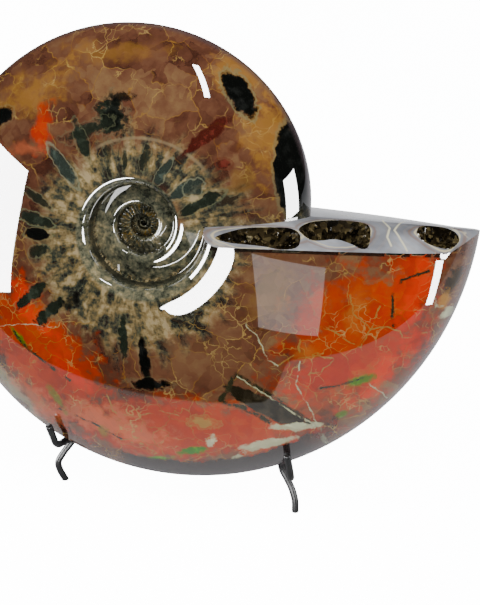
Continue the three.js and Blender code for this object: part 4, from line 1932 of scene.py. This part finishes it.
@dataclass
class WireEasel:
    """The stand: two bent legs with hooks, a bar across their backs and a rear leg; sizes in millimetres.

    Attributes:
        finish: The paint.
        rod_pitch: How far apart the middles of two touching wires are.
        top_along: Where the rails meet, along from the coil's axis.
        top_up: The same, up.
        top_behind: The same, behind.
        rear_foot_back: How far behind the axis the rear leg's foot stands.
        bar_along: The bar's ends and its middle.
        bar_up: The bar's height.
        bar_behind: How far behind the bar runs.
        rear_bends: The rear leg's last places before and under the floor, from its foot.
    """

    finish: WireFinish
    rod_pitch: float = 4.55
    top_along: float = 12.0
    top_up: float = 26.0
    top_behind: float = 53.0
    rear_foot_back: float = 112.0
    bar_along: Place = (-31.0, 11.5, 54.0)
    bar_up: float = -70.0
    bar_behind: float = 51.2
    rear_bends: tuple[Place, ...] = ((0, -9, 27), (0, -2, 7), (0, 0, -4))

    def wires(self) -> list[Wire]:
        """Works out every wire.

        Returns:
            The wires with their routes.
        """
        made = []
        for side, name, out in ((Side.LEFT, "left", -1), (Side.RIGHT, "right", 1)):
            seat = keel_seat(side.value)
            leg = [seat + Vector(p) * MM for p in LEG_POINTS[side]]
            leg += [behind_shell(*p) for p in RAIL_POINTS[side]]
            for spread, drop in ((1.1, 22), (0.52, 0)):
                along = self.top_along + out * spread * self.rod_pitch
                leg.append(behind_shell(along, self.top_up - drop, self.top_behind))
            made.append(Wire(name + "_leg", tuple(leg), True))
            made.append(Wire(name + "_hook", tuple(seat + Vector(p) * MM for p in HOOK_POINTS[side])))
        bar = tuple(behind_shell(along, self.bar_up, self.bar_behind) for along in self.bar_along)
        made.append(Wire("cross_bar", bar))
        top = behind_shell(self.top_along, self.top_up - 3, self.top_behind + self.rod_pitch)
        foot = COIL_MIDDLE + Vector((self.top_along, self.rear_foot_back, -COIL_HEIGHT)) * MM
        rear = [top, top + Vector((0, 5, -20)) * MM] + [foot + Vector(bend) * MM for bend in self.rear_bends]
        made.append(Wire("rear_leg", tuple(rear), True))
        return made

    def build(self) -> dict[str, bpy.types.Object]:
        """Builds every wire; the keys are the CAD nodes they stand for."""
        paint = self.finish.material()
        return {wire.node: wire.build(paint) for wire in self.wires()}


# The room


@dataclass(frozen=True)
class Panel:
    """A lit panel that faces the fossil; places are from the coil's middle, in millimetres.

    Attributes:
        name: Its name.
        place: Its middle.
        width: Across.
        height: Up.
        radiance: How bright its face is.
        roll: How it is turned in its own plane, in degrees.
        facing: The way it shines.
        oval: Whether it is an ellipse.
        mirrored: Whether it only shows as a reflection; otherwise it only lights.
    """

    name: str
    place: Place
    width: float
    height: float
    radiance: float
    roll: float = 0.0
    facing: Place = (0, 1, 0)
    oval: bool = False
    mirrored: bool = True

    def build(self) -> None:
        """Hangs the panel."""
        light = bpy.data.lights.new(self.name, "AREA")
        light.shape = "ELLIPSE" if self.oval else "RECTANGLE"
        light.size, light.size_y = self.width * MM, self.height * MM
        area = self.width * self.height * MM * MM * (math.pi / 4 if self.oval else 1.0)
        light.energy = self.radiance * math.pi * area
        lamp = bpy.data.objects.new(self.name, light)
        aim = Vector(self.facing).to_track_quat("-Z", "Y").to_matrix().to_4x4()
        turn = aim @ Matrix.Rotation(math.radians(self.roll), 4, "Z")
        lamp.matrix_world = Matrix.Translation(COIL_MIDDLE + Vector(self.place) * MM) @ turn
        lamp.visible_camera = False
        lamp.visible_glossy = self.mirrored
        lamp.visible_diffuse = not self.mirrored
        bpy.context.scene.collection.objects.link(lamp)


# The overhead panel lights; the others make the bright shapes in the polish.
PANELS = (
    Panel("overhead", (250, -500, 1300), 1400, 1100, 6.0, facing=(-0.2, 0.4, -1), mirrored=False),
    Panel("left_window", (-440, -218, 10), 230, 336, 80.0, facing=(1, 0, 0)),
    Panel("right_window", (440, -147, 47), 155, 155, 60.0, facing=(-1, 0, 0)),
    Panel("right_low", (440, -236, -118), 44, 95, 60.0, facing=(-1, 0, 0)),
    Panel("tube", (232, -440, 900), 46, 380, 80.0, 20, facing=(0, 0, -1)),
    Panel("low_front", (28, -330, -78), 210, 92, 80.0, 43, oval=True),
    Panel("low_card", (164, -330, -93), 87, 112, 1.6, -8),
)


@dataclass
class Studio:
    """Pale floor, soft panels, a dim room and the camera.

    Attributes:
        floor_finish: What the floor is covered with.
        floor_reach: Half the floor's width, in metres.
        camera_place: From the coil's middle, in millimetres.
        camera_turn: The camera's turn in degrees.
        film_height: The height of the film, in millimetres.
        lens_length: The lens's length, in millimetres.
        backdrop: How bright the room is to the camera.
        room_light: The colour with which it lights.
        mirrored_room: Its colour in reflections.
    """

    floor_finish: FloorFinish
    floor_reach: float = 6.0
    camera_place: Place = (186.8, -709.3, 338.9)
    camera_turn: Place = (61.6, 0.0, 10.9)
    film_height: float = 36.0
    lens_length: float = 83.64
    backdrop: float = 15.0
    room_light: tuple[float, ...] = (0.55, 0.56, 0.58, 1.0)
    mirrored_room: tuple[float, ...] = (0.02, 0.02, 0.022, 1.0)

    def floor(self) -> None:
        """Lays the floor."""
        bm = bmesh.new()
        bmesh.ops.create_grid(bm, x_segments=4, y_segments=4, size=self.floor_reach)
        finish_piece(bm, "floor", (self.floor_finish.material(),))

    def room(self) -> None:
        """White to look at, soft where it lights, dark in reflections."""
        world = bpy.data.worlds.new("room")
        bpy.context.scene.world = world
        world.use_nodes = True
        g = Graph(world.node_tree)
        path = g.add("ShaderNodeLightPath").outputs
        lit = g.mix(path["Is Glossy Ray"], self.room_light, self.mirrored_room)
        strength = g.plus(1.0, g.times(path["Is Camera Ray"], self.backdrop - 1.0))
        colour = g.mix(path["Is Camera Ray"], lit, (1.0, 1.0, 1.0, 1.0))
        g.put(world.node_tree.nodes["Background"], Color=colour, Strength=strength)

    def camera(self) -> None:
        """Sets the camera where the photograph was taken from."""
        lens = bpy.data.cameras.new("camera")
        lens.sensor_fit = "VERTICAL"
        lens.sensor_height = self.film_height
        lens.lens = self.lens_length
        eye = bpy.data.objects.new("camera", lens)
        eye.location = COIL_MIDDLE + Vector(self.camera_place) * MM
        eye.rotation_euler = [math.radians(angle) for angle in self.camera_turn]
        bpy.context.scene.collection.objects.link(eye)
        bpy.context.scene.camera = eye

    def build(self) -> None:
        """Sets up the whole room."""
        self.floor()
        self.room()
        for panel in PANELS:
            panel.build()
        self.camera()
        log.info("room set with %d panels", len(PANELS))


def main() -> None:
    """Builds the pieces in order, puts them on the body and sets up the room."""
    logging.basicConfig(level=logging.INFO, format="%(name)s: %(message)s")
    groups = Groups()
    coil = Coil()
    druse = DruseFinish(groups)
    shell = AmmoniteShell(coil, HOLLOWS, ShellFinish(groups), MouthFinish(groups, HOLLOWS), druse).build()
    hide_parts("ammonite")
    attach(shell, "root")
    for hollow in HOLLOWS:
        crust = CrystalLining(hollow, coil, druse).build()
        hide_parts(hollow.name)
        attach(crust, "root")
    for node, wire in WireEasel(WireFinish()).build().items():
        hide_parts(node)
        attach(wire, "root")
    Studio(FloorFinish()).build()
    bpy.context.view_layer.update()


if __name__ == "__main__":
    main()
